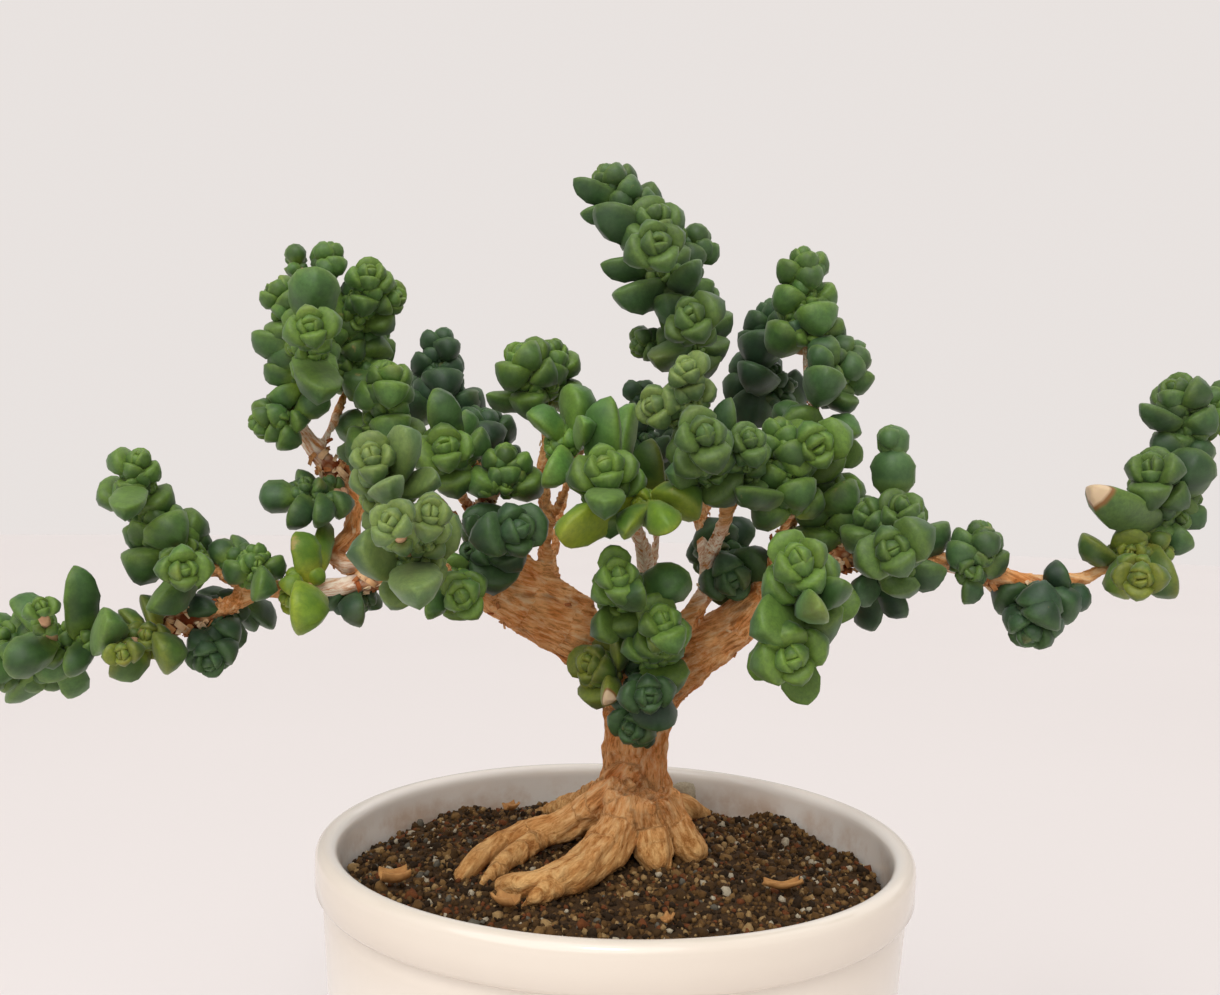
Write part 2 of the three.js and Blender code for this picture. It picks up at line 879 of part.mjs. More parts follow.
    leaves: [
      [806, 606, -27, 764, 630, -40, 54], [808, 604, -27, 844, 580, -40, 38],
      [806, 606, -27, 822, 606, -46, 38], [806, 606, -24, 862, 602, -28, 40],
    ],
  },
  {
    name: "leaves_front_right_low", look: "mid",
    stem: [[782, 616, -18], [788, 640, -22]],
    shoots: [
      [786, 634, -22, 792, 662, -39, 1, 44, 36, 20],
    ],
    leaves: [
      [788, 640, -23, 809, 704, -27, 40], [784, 634, -20, 756, 680, -19, 38],
      [787, 636, -20, 824, 662, -20, 30],
    ],
  },
  {
    name: "leaves_centre_dark", look: "dark",
    stem: [[716, 560, 12], [726, 556, 13]],
    shoots: [
      [720, 558, 12, 738, 578, -3, 1, 44, 36, 20],
    ],
    leaves: [
      [718, 558, 13, 690, 544, 15, 32], [726, 554, 13, 750, 518, 13, 36],
    ],
  },
  {
    name: "leaves_trunk_upper", look: "mid",
    stem: [[621, 604, -9], [636, 600, -10]],
    shoots: [
      [620, 602, -10, 616, 570, -24, 2, 38, 28, 20],
    ],
    leaves: [
      [618, 606, -9, 602, 636, -17, 38], [638, 602, -10, 688, 572, -15, 44],
      [632, 602, -12, 646, 592, -25, 36],
    ],
  },
  {
    name: "leaves_trunk_middle", look: "mid",
    stem: [],
    shoots: [
      [656, 656, -6, 666, 618, -21, 2, 42, 32, 20],
    ],
    leaves: [
      [656, 652, -8, 628, 644, -15, 30],
    ],
  },
  {
    name: "leaves_trunk_small", look: "warm",
    stem: [[618, 672, 0], [606, 674, -1]],
    shoots: [
      [606, 674, -1, 582, 664, -6, 1, 34, 26, 20],
    ],
    leaves: [
      [616, 672, -1, 617, 638, -10, 28], [608, 676, -2, 606, 700, -11, 30],
    ],
  },
  {
    name: "leaves_trunk_low", look: "dark",
    stem: [[644, 676, -1], [644, 706, 2], [640, 736, 2]],
    shoots: [
      [644, 684, -1, 650, 694, -18, 1, 40, 34, 10], [640, 736, 2, 630, 740, -13, 1, 40, 34, 0],
    ],
    leaves: [
      [644, 690, 0, 620, 710, -8, 36], [644, 682, -1, 658, 730, -13, 48],
    ],
  },
  {
    name: "leaves_right_twig", look: "mid",
    stem: [[975, 562, -13], [968, 570, -13]],
    shoots: [
      [975, 562, -13, 979, 522, -12, 2, 34, 28, 20],
    ],
    leaves: [
      [968, 570, -13, 964, 604, -14, 28],
    ],
  },
  {
    name: "leaves_right_hanging", look: "dark",
    stem: [[1038, 592, -8], [1060, 592, -7]],
    shoots: [
      [1038, 594, -8, 1030, 644, -14, 3, 42, 30, 20],
    ],
    leaves: [
      [1060, 592, -7, 1062, 564, -11, 32], [1060, 592, -7, 1092, 604, -10, 30],
    ],
  },
  {
    name: "leaves_right_head_low", look: "warm",
    stem: [[1110, 564, -6], [1134, 556, -7], [1154, 538, -5]],
    shoots: [
      [1134, 556, -8, 1142, 580, -26, 1, 34, 26, 20],
    ],
    leaves: [
      [1148, 544, -6, 1176, 594, -15, 48], [1130, 558, -7, 1124, 592, -16, 38],
      [1118, 560, -6, 1084, 536, -11, 34],
    ],
  },
  {
    name: "leaves_right_head_mid", look: "mid",
    stem: [[1158, 532, -4], [1172, 504, -2], [1186, 472, 0]],
    shoots: [
      [1166, 516, -3, 1148, 458, -13, 2, 42, 32, 20],
    ],
    leaves: [
      [1162, 524, -4, 1094, 486, -15, 50], [1168, 516, -2, 1208, 514, -4, 30],
      [1164, 524, -3, 1194, 546, -8, 36], [1176, 500, -1, 1202, 450, -10, 46],
      [1184, 476, 0, 1160, 430, -2, 36], [1185, 474, 1, 1204, 436, -2, 32],
    ],
  },
  {
    name: "leaves_right_head_top", look: "mid",
    stem: [],
    shoots: [
      [1190, 438, 1, 1178, 380, -3, 3, 38, 30, 20],
    ],
    leaves: [
      [1188, 430, -1, 1142, 404, -6, 30],
    ],
  },
  {
    name: "leaves_right_edge", look: "mid",
    stem: [],
    shoots: [
      [1217, 424, 2, 1230, 386, 2, 2, 32, 26, 20],
    ],
    leaves: [],
  },
  {
    name: "leaves_back_middle", look: "dark",
    stem: [],
    shoots: [
      [692, 458, 31, 680, 404, 33, 3, 44, 34, 20],
    ],
    leaves: [
      [692, 456, 31, 732, 440, 34, 36], [690, 456, 31, 672, 476, 42, 36],
      [690, 450, 31, 704, 424, 46, 34],
    ],
  },
];

// The heads in millimetres, each row in the same order
const HEADS = HEAD_PICKS.map(({ name, look, stem, shoots, leaves }) => ({
  name,
  look,
  stem: stem.map(([px, py, depth]) => at(px, py, depth)),
  shoots: shoots.map(([ax, ay, ad, bx, by, bd, pairs, low, high, turn]) => [
    ...at(ax, ay, ad), ...at(bx, by, bd), pairs, spanAt(low, ad, bd), spanAt(high, ad, bd), turn,
  ]),
  leaves: leaves.map(([ax, ay, ad, bx, by, bd, wide]) => [
    ...at(ax, ay, ad), ...at(bx, by, bd), spanAt(wide, ad, bd),
  ]),
}));

const wasm = await Module();
wasm.setup();

function vec(x, y, z) {
  return new THREE.Vector3(x, y, z);
}

// The same row of draws each time from one starting number
function draws(start) {
  let state = start;
  return () => {
    state = (state * 16807) % 2147483647;
    return state / 2147483647;
  };
}

// A closed body from points and triangles, ready to be joined or cut
function body(points, triangles) {
  const flat = points.flatMap((p) => [p.x, p.y, p.z]);
  const mesh = new wasm.Mesh({
    numProp: 3,
    vertProperties: new Float32Array(flat),
    triVerts: new Uint32Array(triangles.flat()),
    tolerance: MERGE,
  });
  return new wasm.Manifold(mesh);
}

// Rings of points, all with as many, become one closed skin. A ring of one point is a tip.
function skin(rings) {
  const points = rings.flat();
  const triangles = [];
  let first = 0;
  for (let i = 0; i + 1 < rings.length; i++) {
    const near = rings[i].length;
    const far = rings[i + 1].length;
    const next = first + near;
    const count = Math.max(near, far);
    for (let k = 0; k < count; k++) {
      const m = (k + 1) % count;
      if (far === 1) {
        triangles.push([first + k, first + m, next]);
      } else if (near === 1) {
        triangles.push([first, next + m, next + k]);
      } else {
        triangles.push([first + k, first + m, next + m]);
        triangles.push([first + k, next + m, next + k]);
      }
    }
    first = next;
  }
  const start = rings[0].length;
  for (let k = 1; k + 1 < start; k++) {
    triangles.push([0, k + 1, k]);
  }
  const end = rings[rings.length - 1].length;
  for (let k = 1; k + 1 < end; k++) {
    triangles.push([first, first + k, first + k + 1]);
  }
  return body(points, triangles);
}

// Outline of a leaf across its length: flat above, a blunt keel below
const ACROSS_LARGE = [[0.42, 0.32], [-0.42, 0.32], [-0.52, -0.14], [0, -0.56], [0.52, -0.14]];
const ACROSS_SMALL = [[0.54, 0.34], [-0.54, 0.34], [0, -0.56]];

// Along its length: how far from the base, and how wide there
const ALONG_LARGE = [[0.45, 1], [0.96, 0.6]];
const ALONG_SMALL = [[0.5, 1], [0.98, 0.62]];

// One fat leaf, narrowed to a point where it is sunk in its stem
function leafBody(leaf, grown) {
  const ahead = leaf.tip.clone().sub(leaf.base);
  const long = ahead.length();
  ahead.normalize();
  const up = leaf.up.clone().addScaledVector(ahead, -leaf.up.dot(ahead)).normalize();
  const side = vec(0, 0, 0).crossVectors(up, ahead);
  const across = long > LARGE_LEAF ? ACROSS_LARGE : ACROSS_SMALL;
  const along = long > LARGE_LEAF ? ALONG_LARGE : ALONG_SMALL;
  const wide = leaf.wide + 2 * grown;
  const rings = along.map(([t, k]) => {
    const centre = leaf.base.clone().addScaledVector(ahead, t * long + (t > 0.9 ? grown : 0));
    return across.map(([a, b]) => centre.clone()
      .addScaledVector(side, a * k * wide)
      .addScaledVector(up, b * k * wide * LEAF_FAT));
  });
  return skin([[leaf.root.clone()], ...rings]);
}

// A square rod between two places, one of its sides facing the way that is given
function squareRod(from, to, halfFrom, halfTo, facing) {
  const ahead = to.clone().sub(from).normalize();
  const side = facing.clone().addScaledVector(ahead, -facing.dot(ahead)).normalize();
  const up = vec(0, 0, 0).crossVectors(ahead, side);
  const ring = (centre, half) => [[1, 1], [-1, 1], [-1, -1], [1, -1]].map(([a, b]) => centre.clone()
    .addScaledVector(side, a * half)
    .addScaledVector(up, b * half));
  return skin([ring(from, halfFrom), ring(to, halfTo)]);
}

// A round rod between two places with its own half thickness at each end
function rod(from, to, wideFrom, wideTo, sides) {
  const ahead = to.clone().sub(from).normalize();
  const ref = Math.abs(ahead.z) < 0.8 ? vec(0, 0, 1) : vec(1, 0, 0);
  const side = vec(0, 0, 0).crossVectors(ref, ahead).normalize();
  const up = vec(0, 0, 0).crossVectors(ahead, side);
  const ring = (centre, r) => Array.from({ length: sides }, (_, k) => {
    const turn = (k + 0.5) * 2 * Math.PI / sides;
    return centre.clone()
      .addScaledVector(side, r * Math.cos(turn))
      .addScaledVector(up, r * Math.sin(turn));
  });
  return skin([ring(from, wideFrom), ring(to, wideTo)]);
}

// A limb: rings square to its route, with ridges that follow it along
function limb(route, sides, grown, ridge) {
  const places = route.map((p) => vec(p[0], p[1], p[2]));
  const count = places.length;
  let side = null;
  const rings = places.map((place, i) => {
    const before = places[Math.max(i - 1, 0)];
    const after = places[Math.min(i + 1, count - 1)];
    const ahead = after.clone().sub(before).normalize();
    if (side === null) {
      const ref = Math.abs(ahead.z) < 0.8 ? vec(0, 0, 1) : vec(1, 0, 0);
      side = vec(0, 0, 0).crossVectors(ref, ahead).normalize();
    }
    side = side.clone().addScaledVector(ahead, -side.dot(ahead)).normalize();
    const up = vec(0, 0, 0).crossVectors(ahead, side);
    const longer = i === 0 ? -grown : i === count - 1 ? grown : 0;
    return Array.from({ length: sides }, (_, k) => {
      const turn = k * 2 * Math.PI / sides;
      const wave = Math.cos(3 * turn + 0.7 * i) + 0.7 * Math.cos(5 * turn - 0.4 * i);
      const r = route[i][3] * (1 + ridge * wave) + grown;
      return place.clone()
        .addScaledVector(ahead, longer)
        .addScaledVector(side, r * Math.cos(turn))
        .addScaledVector(up, r * Math.sin(turn));
    });
  });
  return skin(rings);
}

// The leaves of one shoot: opposite pairs, each a quarter turn on from the pair below,
// smaller and more upright towards the tip, and a closed bud on top
function shootPlan(shoot, look, draw) {
  const [x0, y0, z0, x1, y1, z1, pairs, large, small, turn] = shoot;
  const from = vec(x0, y0, z0);
  const along = vec(x1, y1, z1).sub(from);
  const long = along.length();
  along.normalize();
  const ref = Math.abs(along.y) < 0.7 ? vec(0, 1, 0) : vec(1, 0, 0);
  const across = vec(0, 0, 0).crossVectors(ref, along).normalize();
  const other = vec(0, 0, 0).crossVectors(along, across);
  const outward = (q) => across.clone().multiplyScalar(Math.cos(q)).addScaledVector(other, Math.sin(q));
  const first = turn * Math.PI / 180;
  const reach = Math.max(long - 0.8 * small, 0.35 * long);
  const leaves = [];
  for (let i = 0; i < pairs; i++) {
    const t = i / pairs;
    const size = large + (small - large) * i / Math.max(pairs - 1, 1);
    const tilt = look === "tall" ? 0.3 : 1.2 - 0.6 * t + 0.16 * (draw() - 0.5);
    const quarter = first + i * Math.PI / 2 + 0.2 * (draw() - 0.5);
    for (const half of [0, Math.PI]) {
      const out = outward(quarter + half);
      const ahead = along.clone().multiplyScalar(Math.cos(tilt)).addScaledVector(out, Math.sin(tilt));
      const up = along.clone().multiplyScalar(Math.sin(tilt)).addScaledVector(out, -Math.cos(tilt));
      const root = from.clone().addScaledVector(along, reach * t);
      const length = size * (1.02 + 0.16 * draw());
      const tip = root.clone().addScaledVector(ahead, length);
      leaves.push({ root, base: root, tip, wide: 1.03 * length, up, placed: look === "tall" });
    }
  }
  const top = from.clone().addScaledVector(along, reach);
  leaves.push({
    root: top.clone().addScaledVector(along, -0.5 * small),
    base: top,
    tip: top.clone().addScaledVector(along, 0.95 * small),
    wide: 0.95 * small,
    up: outward(first + Math.PI / 4),
  });
  const core = { from, to: top, a: 0.3 * large, b: 0.26 * small, facing: outward(first) };
  return { leaves, core, along };
}

// Every leaf of a head: those of its shoots, and the large ones placed one by one
function headPlan(head, number) {
  const draw = draws(1000 + 37 * number);
  const leaves = [];
  const cores = [];
  const stem = head.stem.map((p) => vec(p[0], p[1], p[2]));
  for (let i = 0; i + 1 < stem.length; i++) {
    const half = STEM_THICK / 2;
    cores.push({ from: stem[i], to: stem[i + 1], a: half, b: half, facing: vec(0.3, -1, 0.2) });
  }
  let main = stem.length > 1 ? stem[stem.length - 1].clone().sub(stem[0]).normalize() : null;
  for (const shoot of head.shoots) {
    const plan = shootPlan(shoot, head.look, draw);
    if (cores.length > 0) {
      plan.core.from = nearest(cores, plan.core.from);
    }
    cores.push(plan.core);
    leaves.push(...plan.leaves);
    main = main ?? plan.along;
  }
  for (const l of head.leaves) {
    const base = vec(l[0], l[1], l[2]);
    const tip = vec(l[3], l[4], l[5]);
    const ahead = tip.clone().sub(base).normalize();
    const up = Math.abs(ahead.dot(main)) > 0.93 ? vec(0, 1, 0.3) : main.clone();
    leaves.push({ root: nearest(cores, base), base, tip, wide: l[6], up, placed: true });
  }
  return { leaves, cores };
}

// A leaf is left out where it would sit inside another one, of its own head or of a neighbour
function thinOut(plans) {
  const kept = [];
  const belly = (leaf) => leaf.base.clone().lerp(leaf.tip, 0.62);
  const crowded = (leaf) => kept.some((other) =>
    belly(leaf).distanceTo(belly(other)) < CROWDED * 0.5 * (leaf.wide + other.wide));
  for (const plan of plans) {
    kept.push(...plan.leaves.filter((leaf) => leaf.placed));
  }
  for (const plan of plans) {
    plan.leaves = plan.leaves.filter((leaf) => {
      const stays = leaf.placed || !crowded(leaf);
      if (stays && !leaf.placed) {
        kept.push(leaf);
      }
      return stays;
    });
  }
}

// The place on the cores that is nearest to a point
function nearest(cores, point) {
  let best = null;
  for (const core of cores) {
    const line = new THREE.Line3(core.from, core.to);
    const inset = Math.min(0.3, 1 / line.distance());
    const t = THREE.MathUtils.clamp(line.closestPointToPointParameter(point, false), inset, 1 - inset);
    const place = line.at(t, vec(0, 0, 0));
    if (best === null || place.distanceTo(point) < best.distanceTo(point)) {
      best = place;
    }
  }
  return best;
}

function headBody(plan, grown) {
  const stems = plan.cores.map((c) => squareRod(c.from, c.to, c.a + grown, c.b + grown, c.facing));
  return joined([...stems, ...plan.leaves.map((leaf) => leafBody(leaf, grown))]);
}

function joined(parts) {
  return parts.reduce((sum, part) => sum.add(part));
}

// The largest single piece that is left after the cuts
function largest(solid) {
  const pieces = solid.decompose();
  pieces.sort((a, b) => b.volume() - a.volume());
  return pieces[0];
}

function boxesMeet(a, b, room) {
  const one = a.boundingBox();
  const two = b.boundingBox();
  return [0, 1, 2].every((k) => one.min[k] - room < two.max[k] && two.min[k] - room < one.max[k]);
}

function ring(radius, z, sides) {
  return Array.from({ length: sides }, (_, k) => {
    const turn = 2 * Math.PI * k / sides;
    return vec(radius * Math.cos(turn), radius * Math.sin(turn), z);
  });
}

// The pot: outside from the foot up, over the rounded lip and down the inside
function potBody() {
  const r = POT_WIDTH / 2;
  const foot = FOOT_WIDTH / 2;
  const groove = POT_HEIGHT - BAND_DEEP;
  const under = r - BAND_STEP;
  const outside = [
    ring(foot - 1.2, 0, POT_SIDES),
    ring(foot, 1.2, POT_SIDES),
    ring(under - 0.6, groove - 2.5, POT_SIDES),
    ring(under - 0.5, groove, POT_SIDES),
    ring(r - 0.1, groove + 1.3, POT_SIDES),
    ring(r, POT_HEIGHT - 2.2, POT_SIDES),
    ring(r - 0.7, POT_HEIGHT - 0.6, POT_SIDES),
    ring(r - 2, POT_HEIGHT, POT_SIDES),
    ring(r - 3.3, POT_HEIGHT - 0.6, POT_SIDES),
    ring(r - RIM_WALL, POT_HEIGHT - 2.2, POT_SIDES),
    ring(insideAt(FLOOR_THICK + 3), FLOOR_THICK + 3, POT_SIDES),
    ring(insideAt(FLOOR_THICK) - 3, FLOOR_THICK, POT_SIDES),
  ];
  let pot = skin(outside);
  for (let k = 0; k < DRAIN_HOLES; k++) {
    const turn = 2 * Math.PI * (k + 0.25) / DRAIN_HOLES;
    const x = DRAIN_OUT * Math.cos(turn);
    const y = DRAIN_OUT * Math.sin(turn);
    pot = pot.subtract(rod(vec(x, y, -1), vec(x, y, FLOOR_THICK + 1), DRAIN_WIDE / 2, DRAIN_WIDE / 2, 8));
  }
  return pot;
}

function insideAt(z) {
  const top = POT_WIDTH / 2 - RIM_WALL;
  const low = FOOT_WIDTH / 2 - RIM_WALL;
  return low + (top - low) * z / (POT_HEIGHT - 2.2);
}

// The soil fills the pot and its top is uneven
function soilBody() {
  const bumps = (x, y) => 0.5 * Math.sin(0.31 * x + 0.8) * Math.cos(0.27 * y)
    + 0.35 * Math.sin(0.63 * x - 0.4 * y) - 0.0006 * (x * x + y * y);
  const sides = SOIL_SIDES;
  const rings = [[vec(0, 0, FLOOR_THICK + GAP)]];
  rings.push(ring(insideAt(FLOOR_THICK) - 3 - 2 * GAP, FLOOR_THICK + GAP, sides));
  rings.push(ring(insideAt(FLOOR_THICK + 3) - 2 * GAP, FLOOR_THICK + 3, sides));
  for (const part of [1, 0.7, 0.4]) {
    const r = (insideAt(SOIL_LEVEL) - 3 * GAP) * part;
    rings.push(ring(r, SOIL_LEVEL, sides).map((p) => vec(p.x, p.y, SOIL_LEVEL + bumps(p.x, p.y))));
  }
  rings.push([vec(0, 0, SOIL_LEVEL + bumps(0, 0))]);
  return skin(rings);
}

const model = new THREE.Group();
model.name = "astridia_velutina_bonsai";

function addPiece(name, solid, colour, roughness) {
  const got = solid.getMesh();
  const shape = new THREE.BufferGeometry();
  shape.setAttribute("position", new THREE.BufferAttribute(new Float32Array(got.vertProperties), 3));
  shape.setIndex(new THREE.BufferAttribute(new Uint32Array(got.triVerts), 1));
  shape.computeVertexNormals();
  const look = new THREE.MeshStandardMaterial({ color: colour, roughness, metalness: 0 });
  const piece = new THREE.Mesh(shape, look);
  piece.name = name;
  model.add(piece);
}

// Trunk, roots and branches grew as one, so they are one piece
const limbSkin = (l, grown) => limb(l.route, l.sides, grown, l.sides > 7 ? RIDGE_THICK : RIDGE_THIN);
const wood = largest(joined(LIMBS.map((l) => limbSkin(l, 0))));
const woodRoom = joined(LIMBS.map((l) => limbSkin(l, GAP)));

addPiece("pot", potBody(), CREAM_GLAZE, 0.25);
addPiece("soil", largest(soilBody().subtract(woodRoom)), DARK_SOIL, 0.95);
addPiece("wood", wood, BARK, 0.85);

// Each leafy head is one piece, cut clear of the wood and of the heads before it
const plans = HEADS.map((head, i) => headPlan(head, i));
thinOut(plans);
const rooms = [woodRoom];
HEADS.forEach((head, i) => {
  let solid = headBody(plans[i], 0);
  for (const room of rooms) {
    if (boxesMeet(solid, room, 0)) {
      solid = solid.subtract(room);
    }
  }
  rooms.push(headBody(plans[i], GAP));
  addPiece(head.name, largest(solid), LEAF_COLOURS[head.look], 0.7);
});

export default model;
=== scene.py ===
# %% [markdown]
# This lesson dresses a small succulent tree, astridia velutina, that is kept as a bonsai in a
# glazed pot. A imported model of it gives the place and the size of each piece: the pot, the grit,
# the wood and 57 leafy heads. Here each of them gets its fine shape and its finish.
# The frame is loaded first, because every new piece is set against it.

# %% Load the frame
import math
import bmesh
import bpy
import numpy as np
from mathutils import Matrix, Vector, noise


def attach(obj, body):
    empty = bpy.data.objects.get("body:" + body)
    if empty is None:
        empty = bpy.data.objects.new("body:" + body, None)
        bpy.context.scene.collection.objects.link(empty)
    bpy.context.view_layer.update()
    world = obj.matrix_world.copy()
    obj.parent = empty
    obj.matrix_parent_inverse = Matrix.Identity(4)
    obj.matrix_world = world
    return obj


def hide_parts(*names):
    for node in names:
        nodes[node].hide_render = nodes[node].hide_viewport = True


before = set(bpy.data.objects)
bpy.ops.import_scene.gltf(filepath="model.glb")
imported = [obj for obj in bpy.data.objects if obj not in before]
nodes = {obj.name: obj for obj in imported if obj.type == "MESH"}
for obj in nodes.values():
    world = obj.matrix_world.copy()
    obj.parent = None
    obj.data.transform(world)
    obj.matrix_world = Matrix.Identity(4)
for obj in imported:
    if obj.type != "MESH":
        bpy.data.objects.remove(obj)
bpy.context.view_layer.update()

# %% [markdown]
# Lengths are written in millimetres, as they are measured on the real thing, and turned to
# metres in one place. A few helpers follow. One leaves a single piece selected, because each
# operator acts on all that is selected, and one picks vertices by where they lie.

# %% Helpers for lengths and for picking
def mm(*values):
    return Vector([v / 1000 for v in values]) if len(values) > 1 else values[0] / 1000


def alone(piece):
    bpy.ops.object.select_all(action="DESELECT")
    piece.select_set(True)
    bpy.context.view_layer.objects.active = piece


def made(name):
    piece = bpy.context.active_object
    piece.name = name
    piece.data.name = name
    return piece


def pick(test):
    bpy.ops.mesh.select_all(action="DESELECT")
    shape = bmesh.from_edit_mesh(bpy.context.active_object.data)
    for vertex in shape.verts:
        if test(vertex.co):
            vertex.select = True
    shape.select_flush(True)
    bmesh.update_edit_mesh(bpy.context.active_object.data)


def finish_with(piece, kind, **settings):
    alone(piece)
    modifier = piece.modifiers.new(kind.title(), kind)
    for name, value in settings.items():
        setattr(modifier, name, value)
    bpy.ops.object.modifier_apply(modifier=modifier.name)


def copy_of(node, name):
    piece = nodes[node].copy()
    piece.data = nodes[node].data.copy()
    piece.name = name
    bpy.context.scene.collection.objects.link(piece)
    piece.parent = None
    for key in list(piece.keys()):
        del piece[key]
    alone(piece)
    bpy.ops.object.mode_set(mode="EDIT")
    bpy.ops.mesh.select_all(action="SELECT")
    bpy.ops.mesh.remove_doubles(threshold=0.000002)
    bpy.ops.object.mode_set(mode="OBJECT")
    piece.data.materials.clear()
    return piece


# %% [markdown]
# Colours are read off the object as sRGB hex values, and one function turns them to the linear
# values that a shader wants. Another small function adds a shader node with its settings and
# its links, so that each finish below reads as a short list of what it is made of. A link may
# name a whole node, and then takes its first output, or its colour where it mixes two.

# %% Helpers for colours and shader nodes
def linear(code):
    parts = [int(code[i:i + 2], 16) / 255 for i in (1, 3, 5)]
    return tuple(c / 12.92 if c <= 0.04045 else ((c + 0.055) / 1.055) ** 2.4 for c in parts) + (1,)


def add(tree, kind, settings=None, links=None):
    node = tree.nodes.new("ShaderNode" + kind)
    for name, value in (settings or {}).items():
        if isinstance(name, int) or name in node.inputs:
            node.inputs[name].default_value = value
        else:
            setattr(node, name, value)
    for name, source in (links or {}).items():
        if isinstance(source, bpy.types.Node):
            source = source.outputs[2 if source.type == "MIX" else 0]
        tree.links.new(source, node.inputs[name])
    return node


def new_finish(name, **sockets):
    finish = bpy.data.materials.new(name)
    finish.use_nodes = True
    shader = finish.node_tree.nodes["Principled BSDF"]
    for key, value in sockets.items():
        shader.inputs[key.replace("_", " ")].default_value = value
    return finish, finish.node_tree, shader


def per(millimetres):
    return 1000 / millimetres


# %% [markdown]
# The camera stands where the photo was taken from, 7 cm above the pot's lip and 23 cm in front
# of the pot's axis. It looks down by 1.4 degrees, and it is turned so that the right side of
# the picture hangs 1.5 degrees lower. It is made early, to be ready for a first look.

# %% The camera
PHOTO_WIDE = 1220
PHOTO_MIDDLE = (610, 497.5)
FOCAL_PIXELS = 1231
SENSOR_WIDE = 36
EYE = mm(-2.7, -230, 163.5)
LOOKS_DOWN = math.radians(1.4)
HANGS_RIGHT = math.radians(1.5)

ahead = Vector((0, math.cos(LOOKS_DOWN), -math.sin(LOOKS_DOWN)))
level_up = Vector((0, math.sin(LOOKS_DOWN), math.cos(LOOKS_DOWN)))
level_right = Vector((1, 0, 0))
right = level_right * math.cos(HANGS_RIGHT) + level_up * math.sin(HANGS_RIGHT)
up = level_up * math.cos(HANGS_RIGHT) - level_right * math.sin(HANGS_RIGHT)

camera = bpy.data.objects.new("camera", bpy.data.cameras.new("camera"))
bpy.context.scene.collection.objects.link(camera)
camera.data.sensor_width = SENSOR_WIDE
camera.data.lens = SENSOR_WIDE * FOCAL_PIXELS / PHOTO_WIDE
camera.data.clip_start = 0.005
camera.matrix_world = Matrix.Translation(EYE) @ Matrix((right, up, -ahead)).transposed().to_4x4()
bpy.context.scene.camera = camera
print("camera at", [round(1000 * v, 1) for v in EYE], "mm, lens", round(camera.data.lens, 2))

# %% [markdown]
# The tree's places were read off the photo, each as a pixel and as a depth, which is its
# y in millimetres. The line of sight through the pixel gives the place itself, to half a
# millimetre. A root lies on the soil, so its height is known in place of its depth. Places are
# worked out here, so that the lists below hold what was read and nothing else.

# %% From a pixel to a place
STEP = 0.5
eye_mm = [1000 * value for value in EYE]


def to_step(value):
    return round(value / STEP) * STEP


def sight(px, py):
    x, y = px - PHOTO_MIDDLE[0], py - PHOTO_MIDDLE[1]
    across = (x * math.cos(HANGS_RIGHT) + y * math.sin(HANGS_RIGHT)) / FOCAL_PIXELS
    rise = (x * math.sin(HANGS_RIGHT) - y * math.cos(HANGS_RIGHT)) / FOCAL_PIXELS
    return across * level_right + rise * level_up + ahead


def at(px, py, depth):
    line = sight(px, py)
    far = (depth - eye_mm[1]) / line.y
    return to_step(eye_mm[0] + far * line.x), to_step(depth), to_step(eye_mm[2] + far * line.z)


def on_ground(px, py, height):
    line = sight(px, py)
    return at(px, py, to_step(eye_mm[1] + (height - eye_mm[2]) / line.z * line.y))


def span_at(pixels, near, far):
    return to_step(pixels * ((near + far) / 2 - eye_mm[1]) / FOCAL_PIXELS)


print("a pixel at the trunk is", round(-eye_mm[1] / FOCAL_PIXELS, 3), "mm")

# %% [markdown]
# The pot is stoneware with a cream-white glaze: a glassy coat that is fired on, so it is smooth,
# glossy and very slightly uneven where it ran. Inside, above the grit, hard water and grit left
# a thin brownish line. The line comes from the height on the wall and a broad noise. Near the
# axis the glaze is painted paler, a painted light for the shaded inside of the pot.

# %% Finish: cream glaze
GRIT_LINE = 89.5
cream_glaze, tree, shader = new_finish("cream_glaze_on_stoneware", Roughness=0.16, IOR=1.52,
                                       Coat_Weight=0.35, Coat_Roughness=0.05)
where = add(tree, "TexCoord").outputs["Object"]
uneven = add(tree, "TexNoise", {"Scale": per(40), "Detail": 3}, {"Vector": where})
tint = add(tree, "Mix", {"data_type": "RGBA", 6: linear("#e3d6c6"), 7: linear("#ede3d6")},
           {0: uneven})
height = add(tree, "SeparateXYZ", None, {0: where})
radius = add(tree, "VectorMath", {"operation": "LENGTH"}, {0: add(
    tree, "VectorMath", {"operation": "MULTIPLY", 1: (1, 1, 0)}, {0: where})})
inside = add(tree, "Math", {"operation": "LESS_THAN", 1: mm(52.2)}, {0: radius.outputs["Value"]})
above = add(tree, "Math", {"operation": "GREATER_THAN", 1: mm(GRIT_LINE - 4)}, {0: height.outputs[2]})
inside = add(tree, "Math", {"operation": "MULTIPLY"}, {0: inside, 1: above})
band = add(tree, "MapRange", {"From Min": mm(GRIT_LINE + 3.6), "From Max": mm(GRIT_LINE)},
           {0: height.outputs[2]})
blotch = add(tree, "TexNoise", {"Scale": per(9), "Detail": 5, "Roughness": 0.6},
             {"Vector": where})
patches = add(tree, "MapRange", {"From Min": 0.42, "From Max": 0.66, "To Max": 0.5}, {0: blotch})
stain = add(tree, "Math", {"operation": "MULTIPLY"}, {0: band, 1: patches})
stain = add(tree, "Math", {"operation": "MULTIPLY"}, {0: stain, 1: inside})
# Painted light: the glaze is paler within about 52 mm of the axis, which lightens the shaded inside of the
# pot and also the narrower lower outside
depth = add(tree, "MapRange", {"From Min": mm(53.6), "From Max": mm(51.6)}, {0: radius.outputs["Value"]})
painted_light_near_axis = add(tree, "Mix", {"data_type": "RGBA", 7: linear("#fbf6ee")}, {0: depth, 6: tint})
stained = add(tree, "Mix", {"data_type": "RGBA", 7: linear("#bf8f5c")}, {0: stain, 6: painted_light_near_axis})
